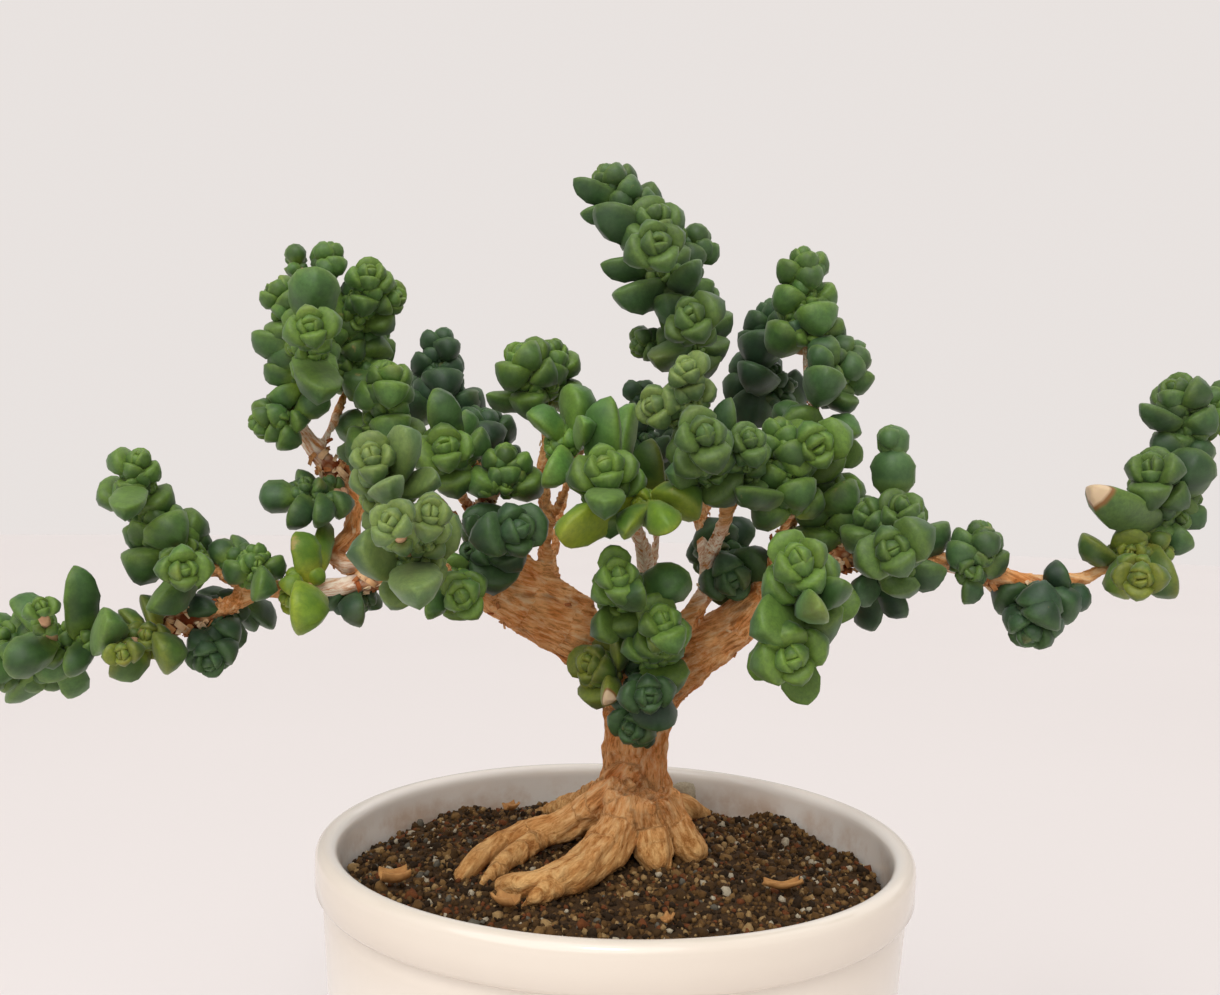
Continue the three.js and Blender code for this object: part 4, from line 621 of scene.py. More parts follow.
# %% The leafy heads
HEADS_SEEN = {
    "left_end": ("mid", [(111, 643, -21), (60, 648, -22), (14, 648, -21)], [
        (50, 646, -24, 40, 606, -36, 1, 26, 18, 20),
    ], [
        (75, 646, -23, 75, 565, -27, 42), (92, 648, -22, 108, 620, -35, 44),
        (64, 648, -24, 3, 666, -33, 42), (52, 646, -22, 12, 598, -20, 38), (86, 648, -23, 64, 672, -30, 30),
        (60, 650, -20, 74, 696, -14, 36), (36, 650, -20, 6, 698, -13, 38),
    ]),
    "left_low": ("warm", [(156, 634, -24), (138, 638, -25)], [
        (130, 644, -25, 124, 652, -35, 1, 22, 18, 30),
    ], [
        (144, 640, -25, 110, 676, -29, 40), (154, 638, -25, 168, 668, -30, 38),
        (144, 638, -24, 118, 612, -22, 22), (154, 632, -24, 142, 596, -20, 24),
    ]),
    "left_hanging": ("dark", [(236, 602, -13), (216, 620, -15)], [
        (218, 620, -15, 208, 670, -23, 3, 34, 26, 30),
    ], [
        (238, 602, -12, 248, 628, -6, 34), (240, 602, -11, 270, 626, -4, 34),
        (230, 604, -12, 200, 598, -8, 28),
    ]),
    "left_tip": ("mid", [], [
        (137, 502, -20, 134, 452, -25, 2, 36, 28, 10),
    ], [
        (134, 488, -23, 122, 510, -37, 34),
    ]),
    "left_column": ("mid", [(198, 564, -17), (160, 540, -19), (139, 512, -20)], [
        (170, 548, -19, 144, 510, -22, 1, 44, 38, 45), (184, 558, -19, 180, 570, -36, 1, 36, 26, 15),
    ], [
        (190, 562, -18, 154, 606, -32, 44), (176, 552, -18, 166, 514, -16, 36),
        (150, 528, -19, 122, 530, -21, 38), (156, 536, -19, 140, 576, -20, 34),
        (186, 558, -17, 204, 530, -14, 32),
    ]),
    "left_mid": ("mid", [(256, 574, -19), (236, 566, -18)], [
        (254, 572, -20, 253, 546, -20, 1, 30, 20, 15),
    ], [
        (236, 568, -18, 214, 544, -16, 30), (244, 568, -17, 232, 538, -12, 26),
        (256, 574, -20, 258, 592, -28, 32),
    ]),
    "left_bright": ("bright", [(314, 588, -18), (298, 588, -18)], [], [
        (302, 588, -18, 297, 626, -27, 50), (304, 586, -18, 296, 530, -17, 38),
        (314, 586, -16, 324, 520, -5, 26),
    ]),
    "left_under": ("dark", [(348, 595, -9), (362, 595, -8)], [], [
        (350, 594, -9, 326, 606, -12, 30), (352, 595, -9, 362, 620, -15, 30),
        (358, 594, -8, 383, 604, -4, 26),
    ]),
    "high_left_front": ("mid", [(300, 384, -10), (310, 340, -12), (308, 292, -9)], [
        (304, 320, -11, 272, 284, -15, 1, 38, 26, 20), (310, 344, -14, 312, 326, -30, 1, 38, 26, 10),
        (306, 292, -6, 294, 254, -2, 1, 22, 18, 20), (312, 292, -6, 336, 246, -4, 1, 28, 24, 70),
    ], [
        (310, 324, -12, 317, 266, -22, 50), (308, 346, -12, 252, 332, -13, 38),
        (306, 352, -13, 326, 390, -25, 48), (300, 376, -11, 264, 366, -12, 28),
        (300, 384, -11, 268, 400, -10, 32),
    ]),
    "high_left_right": ("mid", [(350, 372, 4), (354, 330, 3), (360, 300, 0)], [
        (358, 318, -2, 374, 266, -10, 2, 36, 26, 20), (362, 306, -2, 404, 294, -4, 1, 30, 24, 30),
        (356, 350, 4, 378, 330, 10, 1, 34, 30, 50),
    ], [
        (354, 340, 3, 380, 362, 8, 32),
    ]),
    "high_left_side": ("mid", [(296, 416, -9), (284, 420, -9)], [
        (286, 420, -9, 252, 424, -12, 2, 30, 24, 20),
    ], [
        (294, 414, -9, 328, 392, -10, 28),
    ]),
    "left_shoulder": ("cool", [(341, 494, -6.5), (302, 496, -9)], [], [
        (302, 496, -9, 260, 498, -10, 34), (308, 498, -9, 288, 524, -15, 32),
        (306, 494, -9, 296, 474, -5, 28), (322, 496, -9, 316, 522, -15, 28),
        (330, 498, -9, 344, 514, -11, 30),
    ]),
    "back_left": ("dark", [], [
        (440, 412, 19, 438, 332, 18, 3, 46, 28, 20),
    ], [
        (444, 404, 20, 480, 392, 18, 34), (438, 402, 20, 412, 376, 24, 34),
    ]),
    "mid_left": ("mid", [(388, 444, -5), (372, 436, 0)], [
        (388, 444, -5, 384, 362, -13, 3, 42, 30, 25),
    ], [
        (378, 440, -1, 344, 420, 6, 38), (376, 440, 0, 346, 460, 6, 38),
    ]),
    "inner_left": ("mid", [(466, 458, -5), (448, 450, -5)], [
        (448, 462, -7, 446, 440, -15, 1, 38, 32, 15),
    ], [
        (444, 448, -4, 432, 390, -12, 42), (458, 450, -3, 466, 408, -4, 26),
        (462, 456, -5, 480, 432, -12, 32),
    ]),
    "inner_left_back": ("dark", [], [
        (482, 462, 12, 488, 408, 14, 2, 36, 30, 20),
    ], []),
    "front_left_high": ("pale", [], [
        (388, 500, -34, 368, 452, -46, 2, 44, 30, 15),
    ], [
        (390, 494, -36, 404, 428, -46, 42), (390, 498, -36, 436, 476, -44, 34),
        (386, 494, -37, 386, 484, -55, 38),
    ]),
    "front_left": ("pale", [(411, 566, -36.5), (412, 556, -44)], [
        (408, 558, -42, 394, 520, -64, 1, 38, 28, 70), (420, 556, -42, 430, 506, -57, 2, 36, 26, 20),
    ], [
        (410, 564, -38, 362, 546, -52, 54), (414, 560, -38, 454, 516, -43, 48),
        (411, 562, -40, 418, 590, -60, 52), (408, 556, -40, 386, 504, -43, 38),
        (408, 568, -36, 390, 604, -42, 34),
    ]),
    "left_elbow": ("mid", [(452, 582, -10), (444, 588, -14)], [
        (454, 584, -10, 466, 600, -27, 2, 36, 28, 20),
    ], [
        (446, 588, -15, 424, 612, -25, 30),
    ]),
    "inner_stem": ("mid", [(494, 492, -8), (508, 480, -9)], [
        (504, 486, -8, 508, 446, -11, 2, 36, 26, 20),
    ], []),
    "inner_pair": ("dark", [], [
        (486, 546, -7, 520, 520, -22, 1, 46, 38, 10),
    ], [
        (488, 544, -8, 468, 518, -14, 22), (490, 544, -7, 520, 556, -14, 40),
    ]),
    "top_left": ("mid", [(545, 402, 5), (540, 384, 4)], [
        (543, 396, 5, 554, 338, 3, 2, 38, 32, 20), (540, 390, 3, 516, 348, -4, 2, 38, 32, 40),
    ], [
        (542, 398, 5, 486, 394, 1, 30),
    ]),
    "centre_left": ("fresh", [(580, 444, -4), (558, 448, -6)], [], [
        (572, 446, -4, 570, 382, -7, 46), (562, 446, -4, 526, 412, -9, 36),
        (562, 448, -5, 544, 482, -14, 36), (576, 450, -5, 584, 424, -20, 28),
    ]),
    "centre_tall": ("fresh", [(608, 492, -10), (620, 488, -10)], [], [
        (614, 486, -10, 612, 396, -15, 50), (618, 486, -9, 634, 402, -3, 40),
    ]),
    "centre_head": ("mid", [], [
        (606, 500, -14, 606, 456, -25, 1, 42, 34, 10),
    ], [
        (604, 492, -16, 568, 468, -18, 32), (608, 492, -16, 644, 474, -19, 32),
        (606, 494, -18, 606, 502, -34, 40),
    ]),
    "centre_long": ("bright", [(641, 496, -13), (650, 510, -16)], [], [
        (644, 500, -14, 558, 538, -26, 46), (648, 502, -14, 699, 508, -21, 50),
        (650, 510, -16, 626, 532, -30, 32), (651, 510, -16, 672, 530, -31, 36),
    ]),
    "centre_behind": ("dark", [], [
        (642, 450, 18, 640, 382, 22, 2, 30, 20, 20),
    ], []),
    "centre_deep": ("warm", [(656, 506, -5), (666, 500, -5)], [], [
        (660, 500, -2, 652, 438, -8, 42), (662, 500, -1, 684, 470, 4, 30),
    ]),
    "crown_tip": ("cool", [], [
        (634, 216, 3, 600, 166, 1, 2, 38, 30, 30),
    ], [
        (624, 204, 2, 572, 178, -2, 30), (624, 206, 2, 580, 212, -3, 28), (630, 212, 2, 648, 188, 1, 28),
    ]),
    "crown_high": ("cool", [(676, 292, 2), (664, 262, 0), (650, 232, 0)], [
        (658, 250, 0, 656, 208, -8, 1, 42, 32, 25), (662, 262, -2, 654, 242, -24, 1, 42, 32, 20),
        (674, 284, 3, 702, 226, 4, 2, 34, 28, 10),
    ], [
        (650, 240, 0, 596, 206, -8, 46), (660, 262, -1, 600, 264, -8, 32), (672, 282, 0, 616, 292, -10, 44),
        (676, 290, 1, 692, 262, -16, 34),
    ]),
    "crown_low": ("cool", [(692, 347, 3), (688, 318, 1)], [
        (691, 340, 0, 694, 318, -20, 1, 42, 32, 20), (690, 344, 3, 632, 342, 1, 2, 28, 22, 20),
    ], [
        (688, 322, 0, 668, 296, -10, 44), (690, 326, 2, 732, 314, 2, 34), (692, 336, 1, 726, 348, -4, 32),
        (690, 320, 3, 714, 288, 6, 28), (688, 344, 0, 654, 360, -11, 36),
    ]),
    "centre_bright": ("pale", [], [
        (691, 412, -15, 686, 362, -25, 3, 34, 24, 20), (688, 414, -14, 644, 402, -19, 1, 32, 28, 40),
    ], []),
    "centre_cross": ("cool", [(708, 470, -14), (736, 474, -13)], [
        (706, 470, -15, 700, 430, -37, 2, 46, 34, 40), (740, 474, -13, 751, 436, -25, 2, 36, 26, 20),
    ], [
        (706, 472, -14, 674, 474, -24, 36), (728, 470, -13, 730, 398, -20, 34),
    ]),
    "centre_column": ("mid", [], [
        (789, 510, -10, 780, 420, -14, 4, 38, 32, 20),
    ], [
        (786, 500, -13, 738, 488, -24, 32),
    ]),
    "right_high_tip": ("mid", [], [
        (807, 340, 2, 803, 250, 0, 4, 40, 26, 20),
    ], []),
    "right_high_back": ("dark", [], [
        (784, 344, 13, 766, 302, 13, 2, 42, 34, 25),
    ], [
        (786, 344, 13, 738, 334, 12, 36), (790, 344, 11, 792, 322, -4, 32),
    ]),
    "right_high_dark": ("dark", [(778, 412, 18), (776, 384, 15)], [
        (776, 404, 18, 740, 360, 22, 2, 44, 34, 30),
    ], [
        (778, 384, 14, 746, 362, 5, 38),
    ]),
    "right_high_side": ("cool", [(817, 398, -0.5), (824, 376, -2)], [
        (826, 374, -1, 868, 354, 0, 2, 34, 30, 20),
    ], [
        (824, 404, -4, 828, 366, -14, 42), (822, 380, -3, 820, 346, -8, 28),
        (822, 392, -3, 860, 404, -4, 28),
    ]),
    "right_high_low": ("mid", [(808, 436, -2), (822, 440, -3)], [
        (812, 444, -3, 814, 450, -18, 1, 40, 34, 30),
    ], [
        (810, 436, -2, 776, 404, 2, 32), (818, 438, -2, 862, 432, -5, 34), (822, 442, -2, 862, 460, 1, 30),
    ]),
    "right_inner": ("mid", [], [
        (840, 536, 1, 822, 474, -2, 3, 46, 38, 25),
    ], []),
    "right_column": ("tall", [], [
        (893, 502, -8, 894, 428, -8, 2, 46, 40, 0),
    ], []),
    "right_cluster": ("cool", [(892, 562, -11), (894, 530, -10)], [
        (890, 548, -10, 864, 506, -13, 2, 38, 30, 20), (896, 540, -10, 908, 502, -18, 2, 38, 30, 40),
        (894, 556, -12, 895, 544, -31, 1, 44, 34, 20),
    ], [
        (896, 560, -11, 948, 572, -17, 44), (896, 546, -9, 948, 524, -8, 42),
    ]),
    "right_under": ("dark", [(882, 574, -4), (890, 572, -4)], [], [
        (888, 574, -4, 908, 618, -6, 34), (886, 574, -3, 868, 630, 4, 34),
        (884, 574, -4, 858, 600, -10, 34),
    ]),
    "front_right": ("mid", [(800, 606, -24), (808, 604, -27)], [
        (802, 602, -26, 800, 550, -40, 2, 48, 38, 25),
    ], [
        (806, 606, -27, 764, 630, -40, 54), (808, 604, -27, 844, 580, -40, 38),
        (806, 606, -27, 822, 606, -46, 38), (806, 606, -24, 862, 602, -28, 40),
    ]),
    "front_right_low": ("mid", [(782, 616, -18), (788, 640, -22)], [
        (786, 634, -22, 792, 662, -39, 1, 44, 36, 20),
    ], [
        (788, 640, -23, 809, 704, -27, 40), (784, 634, -20, 756, 680, -19, 38),
        (787, 636, -20, 824, 662, -20, 30),
    ]),
    "centre_dark": ("dark", [(716, 560, 12), (726, 556, 13)], [
        (720, 558, 12, 738, 578, -3, 1, 44, 36, 20),
    ], [
        (718, 558, 13, 690, 544, 15, 32), (726, 554, 13, 750, 518, 13, 36),
    ]),
    "trunk_upper": ("mid", [(621, 604, -9), (636, 600, -10)], [
        (620, 602, -10, 616, 570, -24, 2, 38, 28, 20),
    ], [
        (618, 606, -9, 602, 636, -17, 38), (638, 602, -10, 688, 572, -15, 44),
        (632, 602, -12, 646, 592, -25, 36),
    ]),
    "trunk_middle": ("mid", [], [
        (656, 656, -6, 666, 618, -21, 2, 42, 32, 20),
    ], [
        (656, 652, -8, 628, 644, -15, 30),
    ]),
    "trunk_small": ("warm", [(618, 672, 0), (606, 674, -1)], [
        (606, 674, -1, 582, 664, -6, 1, 34, 26, 20),
    ], [
        (616, 672, -1, 617, 638, -10, 28), (608, 676, -2, 606, 700, -11, 30),
    ]),
    "trunk_low": ("dark", [(644, 676, -1), (644, 706, 2), (640, 736, 2)], [], [
        (644, 690, 0, 620, 710, -8, 36), (644, 682, -1, 658, 730, -13, 48),
    ]),
    "right_twig": ("cool", [(975, 562, -13), (968, 570, -13)], [
        (975, 562, -13, 979, 522, -12, 2, 34, 28, 20),
    ], [
        (968, 570, -13, 964, 604, -14, 28),
    ]),
    "right_hanging": ("dark", [(1038, 592, -8), (1060, 592, -7)], [
        (1038, 594, -8, 1030, 644, -14, 3, 42, 30, 20),
    ], [
        (1060, 592, -7, 1062, 564, -11, 32), (1060, 592, -7, 1092, 604, -10, 30),
    ]),
    "right_head_low": ("warm", [(1110, 564, -6), (1134, 556, -7), (1154, 538, -5)], [
        (1134, 556, -8, 1142, 580, -26, 1, 34, 26, 20),
    ], [
        (1148, 544, -6, 1176, 594, -15, 48), (1130, 558, -7, 1124, 592, -16, 38),
        (1118, 560, -6, 1084, 536, -11, 34),
    ]),
    "right_head_mid": ("cool", [(1158, 532, -4), (1172, 504, -2), (1186, 472, 0)], [
        (1166, 516, -3, 1148, 458, -13, 2, 42, 32, 20),
    ], [
        (1162, 524, -4, 1094, 486, -15, 50), (1168, 516, -2, 1208, 514, -4, 30),
        (1164, 524, -3, 1194, 546, -8, 36), (1176, 500, -1, 1202, 450, -10, 46),
        (1184, 476, 0, 1160, 430, -2, 36), (1185, 474, 1, 1204, 436, -2, 32),
    ]),
    "right_head_top": ("cool", [], [
        (1190, 438, 1, 1178, 380, -3, 3, 38, 30, 20),
    ], [
        (1188, 430, -1, 1142, 404, -6, 30),
    ]),
    "right_edge": ("mid", [], [
        (1217, 424, 2, 1230, 386, 2, 2, 32, 26, 20),
    ], []),
    "back_middle": ("dark", [], [
        (692, 458, 31, 680, 404, 33, 3, 44, 34, 20),
    ], [
        (692, 456, 31, 732, 440, 34, 36), (690, 456, 31, 672, 476, 42, 36),
        (690, 450, 31, 704, 424, 46, 34),
    ]),
}

# Shoots placed in millimetres once the rest stood, by head and by place in its list
SHOOTS_ADDED = {
    ("left_end", 1): (-104, -20, 130, -112.5, -18, 131, 2, 7, 5, 45),
    ("left_end", 2): (-99, -20, 130, -101, -14, 122.5, 1, 6, 5, 30),
    ("left_end", 3): (-103, -21, 130, -107, -24, 124, 1, 5.5, 4.5, 60),
    ("high_left_front", 2): (-58, -10, 179, -54, -9, 186, 1, 6.5, 5, 30),
    ("high_left_right", 3): (-52, 2, 181, -53, -4, 190, 2, 6.5, 5, 40),
    ("high_left_right", 4): (-51, 3, 182, -46.5, 0, 175.5, 1, 6.5, 5.5, 20),
    ("trunk_low", 0): (4.5, -1, 123, 5, -17, 124.5, 1, 6.2, 5, 10),
    ("trunk_low", 1): (4, 2, 116, 2.5, -11, 117, 1, 5, 4.4, 0),
}


def shoot_at(ax, ay, near, bx, by, far, pairs, low, high, turn):
    return (*at(ax, ay, near), *at(bx, by, far), pairs,
            span_at(low, near, far), span_at(high, near, far), turn)


def leaf_at(ax, ay, near, bx, by, far, wide):
    return (*at(ax, ay, near), *at(bx, by, far), span_at(wide, near, far))


HEADS = {}
for name, (look, stem, shoots, leaves) in HEADS_SEEN.items():
    HEADS[name] = (look, [at(*row) for row in stem], [shoot_at(*row) for row in shoots],
                   [leaf_at(*row) for row in leaves])
for (name, place), shoot in SHOOTS_ADDED.items():
    HEADS[name][2].insert(place, shoot)
print(len(HEADS), "heads,", sum(len(h[2]) for h in HEADS.values()), "shoots")

# %% [markdown]
# Leaves grow in opposite pairs, each pair a quarter turn on from the one below, smaller and
# more upright towards the tip. At the tip and in the lap of each big leaf sits a rosette: two
# to four pairs nested crosswise in each other, the youngest still shut with a slit between its
# halves. The tall look is a young shoot whose long leaves stand nearly upright, a small twist
# apart. FAT and PLUMP are a leaf's thickness and width, as parts of its width and its length.

# %% Leaves and rosettes
FAT = 0.74
TALL_FAT = 0.5
PLUMP = 1.06
LAP_OUT, LAP_UP, LAP_SIZE = 0.34, 0.12, 0.46
TALL_TURN = 72
TALL_TWIST = 0.5
TALL_LEAN = 0.14


class Leafing:
    def __init__(self, number):
        self.draw = draws(1000 + 37 * number)
        self.other_draw = draws(5000 + 91 * number)
        self.places = [[] for grade in GRADES]
        self.tones = [[] for grade in GRADES]
        self.cores = []

    def shift(self, spread):
        return spread * (next(self.other_draw) - 0.5)

    def leaf(self, base, forward, upward, long, wide, fat=FAT, young=0.0):
        forward = forward.normalized()
        upward = (upward - forward * upward.dot(forward)).normalized()
        side = forward.cross(upward)
        grade = next(k for k, (size, shape) in enumerate(GRADES) if long >= size)
        self.places[grade].append(frame_of(base, side * wide, forward * long, upward * wide * fat))
        self.tones[grade].append((next(self.other_draw), young))

    def pair(self, place, axis, across, lean, long, wide, fat, young):
        for half in (1, -1):
            out = across * half
            tilt = lean + self.shift(0.3)
            forward = axis * math.cos(tilt) + out * math.sin(tilt)
            upward = axis * math.sin(tilt) - out * math.cos(tilt)
            grown = 1 + self.shift(0.26)
            broad = wide * grown * (1 + self.shift(0.14))
            self.leaf(place, forward, upward, long * grown, broad, fat, young)

    def rosette(self, place, axis, across, size, pairs, young):
        axis = (axis.normalized() + Vector([self.shift(0.4) for k in range(3)])).normalized()
        turn = self.shift(0.7)
        across = across * math.cos(turn) + axis.cross(across) * math.sin(turn)
        across = (across - axis * across.dot(axis)).normalized()
        for k in range(pairs):
            t = k / (pairs - 1)
            share = 1 - 0.42 * t
            self.pair(place + axis * size * 0.34 * t, axis, across, 0.84 - 0.74 * t, size * share,
                      size * share * (1 - 0.08 * t), 0.76 - 0.18 * t, young + 0.35 * t)
            across = (axis.cross(across) + across * self.shift(0.3)).normalized()


def square_to(line):
    ref = Vector((0, 1, 0)) if abs(line.y) < 0.7 else Vector((1, 0, 0))
    across = ref.cross(line).normalized()
    return across, line.cross(across)


# %% The rule for a shoot and a head
def grow_shoot(head, shoot, look):
    x0, y0, z0, x1, y1, z1, pairs, large, small, turn = shoot
    start, end = mm(x0, y0, z0), mm(x1, y1, z1)
    large, small = mm(large), mm(small)
    along = (end - start).normalized()
    long = (end - start).length
    across, other = square_to(along)
    tall = look == "tall"
    first = math.radians(turn + (TALL_TURN if tall else 0))
    quarter_turn = TALL_TWIST if tall else math.pi / 2
    reach = max(long - 0.8 * small, 0.35 * long)
    for i in range(pairs):
        t = i / pairs
        size = large + (small - large) * i / max(pairs - 1, 1)
        tilt = TALL_LEAN if tall else 1.2 - 0.6 * t + 0.16 * (next(head.draw) - 0.5)
        quarter = first + i * quarter_turn + 0.2 * (next(head.draw) - 0.5)
        root = start + along * (0.8 * large * i if tall else reach * t)
        for half in (0, math.pi):
            out = across * math.cos(quarter + half) + other * math.sin(quarter + half)
            forward = along * math.cos(tilt) + out * math.sin(tilt)
            upward = along * math.sin(tilt) - out * math.cos(tilt)
            length = size * (1.02 + 0.16 * next(head.draw))
            wide = (0.84 - 0.06 * i) * length if tall else PLUMP * length
            head.leaf(root, forward, upward, length, wide, TALL_FAT if tall else FAT, 0.05 + 0.2 * t)
            if tall:
                continue
            lap = root + forward * LAP_OUT * length + upward * LAP_UP * length
            head.rosette(lap, forward * 0.5 + upward + along * 0.4, forward.cross(upward),
                         LAP_SIZE * length, 3, 0.3)
            beside = quarter + half + math.pi / 2
            aside = across * math.cos(beside) + other * math.sin(beside)
            head.rosette(root + along * size * 0.12 + aside * size * 0.1, aside + along * 0.45, out,
                         0.62 * size, 3, 0.15)
    # Widely spaced pairs get a smaller pair, and one more crosswise to it, between them
    for i in range(pairs):
        if not tall and reach / pairs > 0.5 * small:
            t = (i + 0.55) / pairs
            turn = first + (i + 0.5) * math.pi / 2
            out = across * math.cos(turn) + other * math.sin(turn)
            size = 0.8 * (large + (small - large) * t)
            head.pair(start + along * reach * t, along, out, 0.8, size, size, FAT, 0.15)
            head.pair(start + along * (reach * t + 0.15 * size), along, along.cross(out), 0.7,
                      0.8 * size, 0.8 * size, FAT, 0.2)
    top = start + along * reach
    quarter = first + pairs * math.pi / 2
    out = across * math.cos(quarter) + other * math.sin(quarter)
    if tall:
        head.rosette(start + along * 1.15 * large, along, out, 0.62 * small, 2, 0.1)
    else:
        head.rosette(top - along * 0.2 * small, along, out, 1.15 * small, 4 if small > mm(3.5) else 3, 0.25)
    root = nearest(head.cores, start) if head.cores else start
    head.cores.append((root, top, mm(0.9), mm(0.9)))
    return along


def nearest(cores, point):
    places = []
    for a, b in (core[:2] for core in cores):
        t = (point - a).dot(b - a) / max((b - a).length_squared, 1e-12)
        places.append(a.lerp(b, min(max(t, 0), 1)))
    return min(places, key=lambda place: (place - point).length)


BARK_POINTS = np.array([v.co for v in wood.data.vertices])


def nearest_wood(end):
    gaps = ((BARK_POINTS - np.array(end)) ** 2).sum(axis=1)
    return Vector(BARK_POINTS[gaps.argmin()])


def fill_stem(head, places):
    for a, b in zip(places, places[1:]):
        along = (b - a).normalized()
        across, other = square_to(along)
        count = math.ceil((b - a).length / mm(2.6))
        for k in range(count):
            turn = 2.4 * k + 2 * math.pi * next(head.other_draw)
            out = across * math.cos(turn) + other * math.sin(turn)
            size = mm(2.8 + 1.8 * next(head.other_draw))
            place = a.lerp(b, (k + 0.5) / count) + out * mm(0.5)
            head.rosette(place, out + along * 0.4, along, size, 3, 0.1)
    if len(places) > 1:
        head.rosette(b - along * mm(0.6), along, across, mm(3.4), 3, 0.2)


# The tips of the two leaves that withered, and the mark that tells the finish so
DEAD_TIPS = [mm(81.5, -15, 162.5), mm(-2.5, -11, 122)]
DEAD = 1.8


def grow_head(number, look, stem, shoots, leaves):
    head = Leafing(number)
    places = [mm(*p) for p in stem]
    head.cores = [(a, b, mm(1.1), mm(1.1)) for a, b in zip(places, places[1:])]
    main = (places[-1] - places[0]).normalized() if places else None
    for shoot in shoots:
        along = grow_shoot(head, shoot, look)
        main = main or along
    fill_stem(head, places)
    for x0, y0, z0, x1, y1, z1, wide in leaves:
        base, tip = mm(x0, y0, z0), mm(x1, y1, z1)
        forward = (tip - base).normalized()
        upward = Vector((0, 1, 0.3)) if abs(forward.dot(main)) > 0.93 else main
        upward = (upward - forward * upward.dot(forward)).normalized()
        root = nearest(head.cores, base)
        young = DEAD if any((tip - spot).length < mm(1) for spot in DEAD_TIPS) else 0.0
        head.leaf(root, tip - root, upward, (tip - root).length, PLUMP * mm(wide), FAT, young)
        if wide > 3:
            t = min(max((base - root).dot(tip - root) / (tip - root).length_squared, 0.12), 0.4)
            head.rosette(root.lerp(tip, t), forward * 0.4 + upward, forward.cross(upward),
                         mm(0.5 * wide), 3, 0.3)
    return head


# %% [markdown]
# Each leaf is velvety: its skin is set with tiny bladders that scatter light, which sheen and a
# fine bump stand for. Its green clouds from deep to light, and turns yellowish where it joins
# its pair and when young. Near the base of young leaves it is painted back to deep green, a
# painted shade for the folds of a rosette. A few leaves have a brown blush or a dry scar, and
# two have a withered tip behind a brown line. A little light passes through the thinnest
# parts. Two looks are only shades of the middle one; the dark one is a painted shade for heads
# that sit in shadow.

# %% Finish: velvety leaves
LOOKS = {
    "mid": ("#29431f", "#527a3a", "#8ba834"),
    "cool": ("#233b1f", "#47693b", "#7a9532"),
    "fresh": ("#33571f", "#689645", "#98b43e"),
    "pale": ("#33502c", "#688552", "#9cab48"),
    # Painted shade: the dark look is a darkened copy of the middle one, given to heads that sit in shadow
    "dark": ("#1b301e", "#36543a", "#567a36"),
    "warm": ("#2f4a1e", "#5c7c2f", "#a39e2e"),
    "bright": ("#3f641c", "#769526", "#b4b232"),
    "tall": ("#2f4e2a", "#587a46", "#849c40"),
}


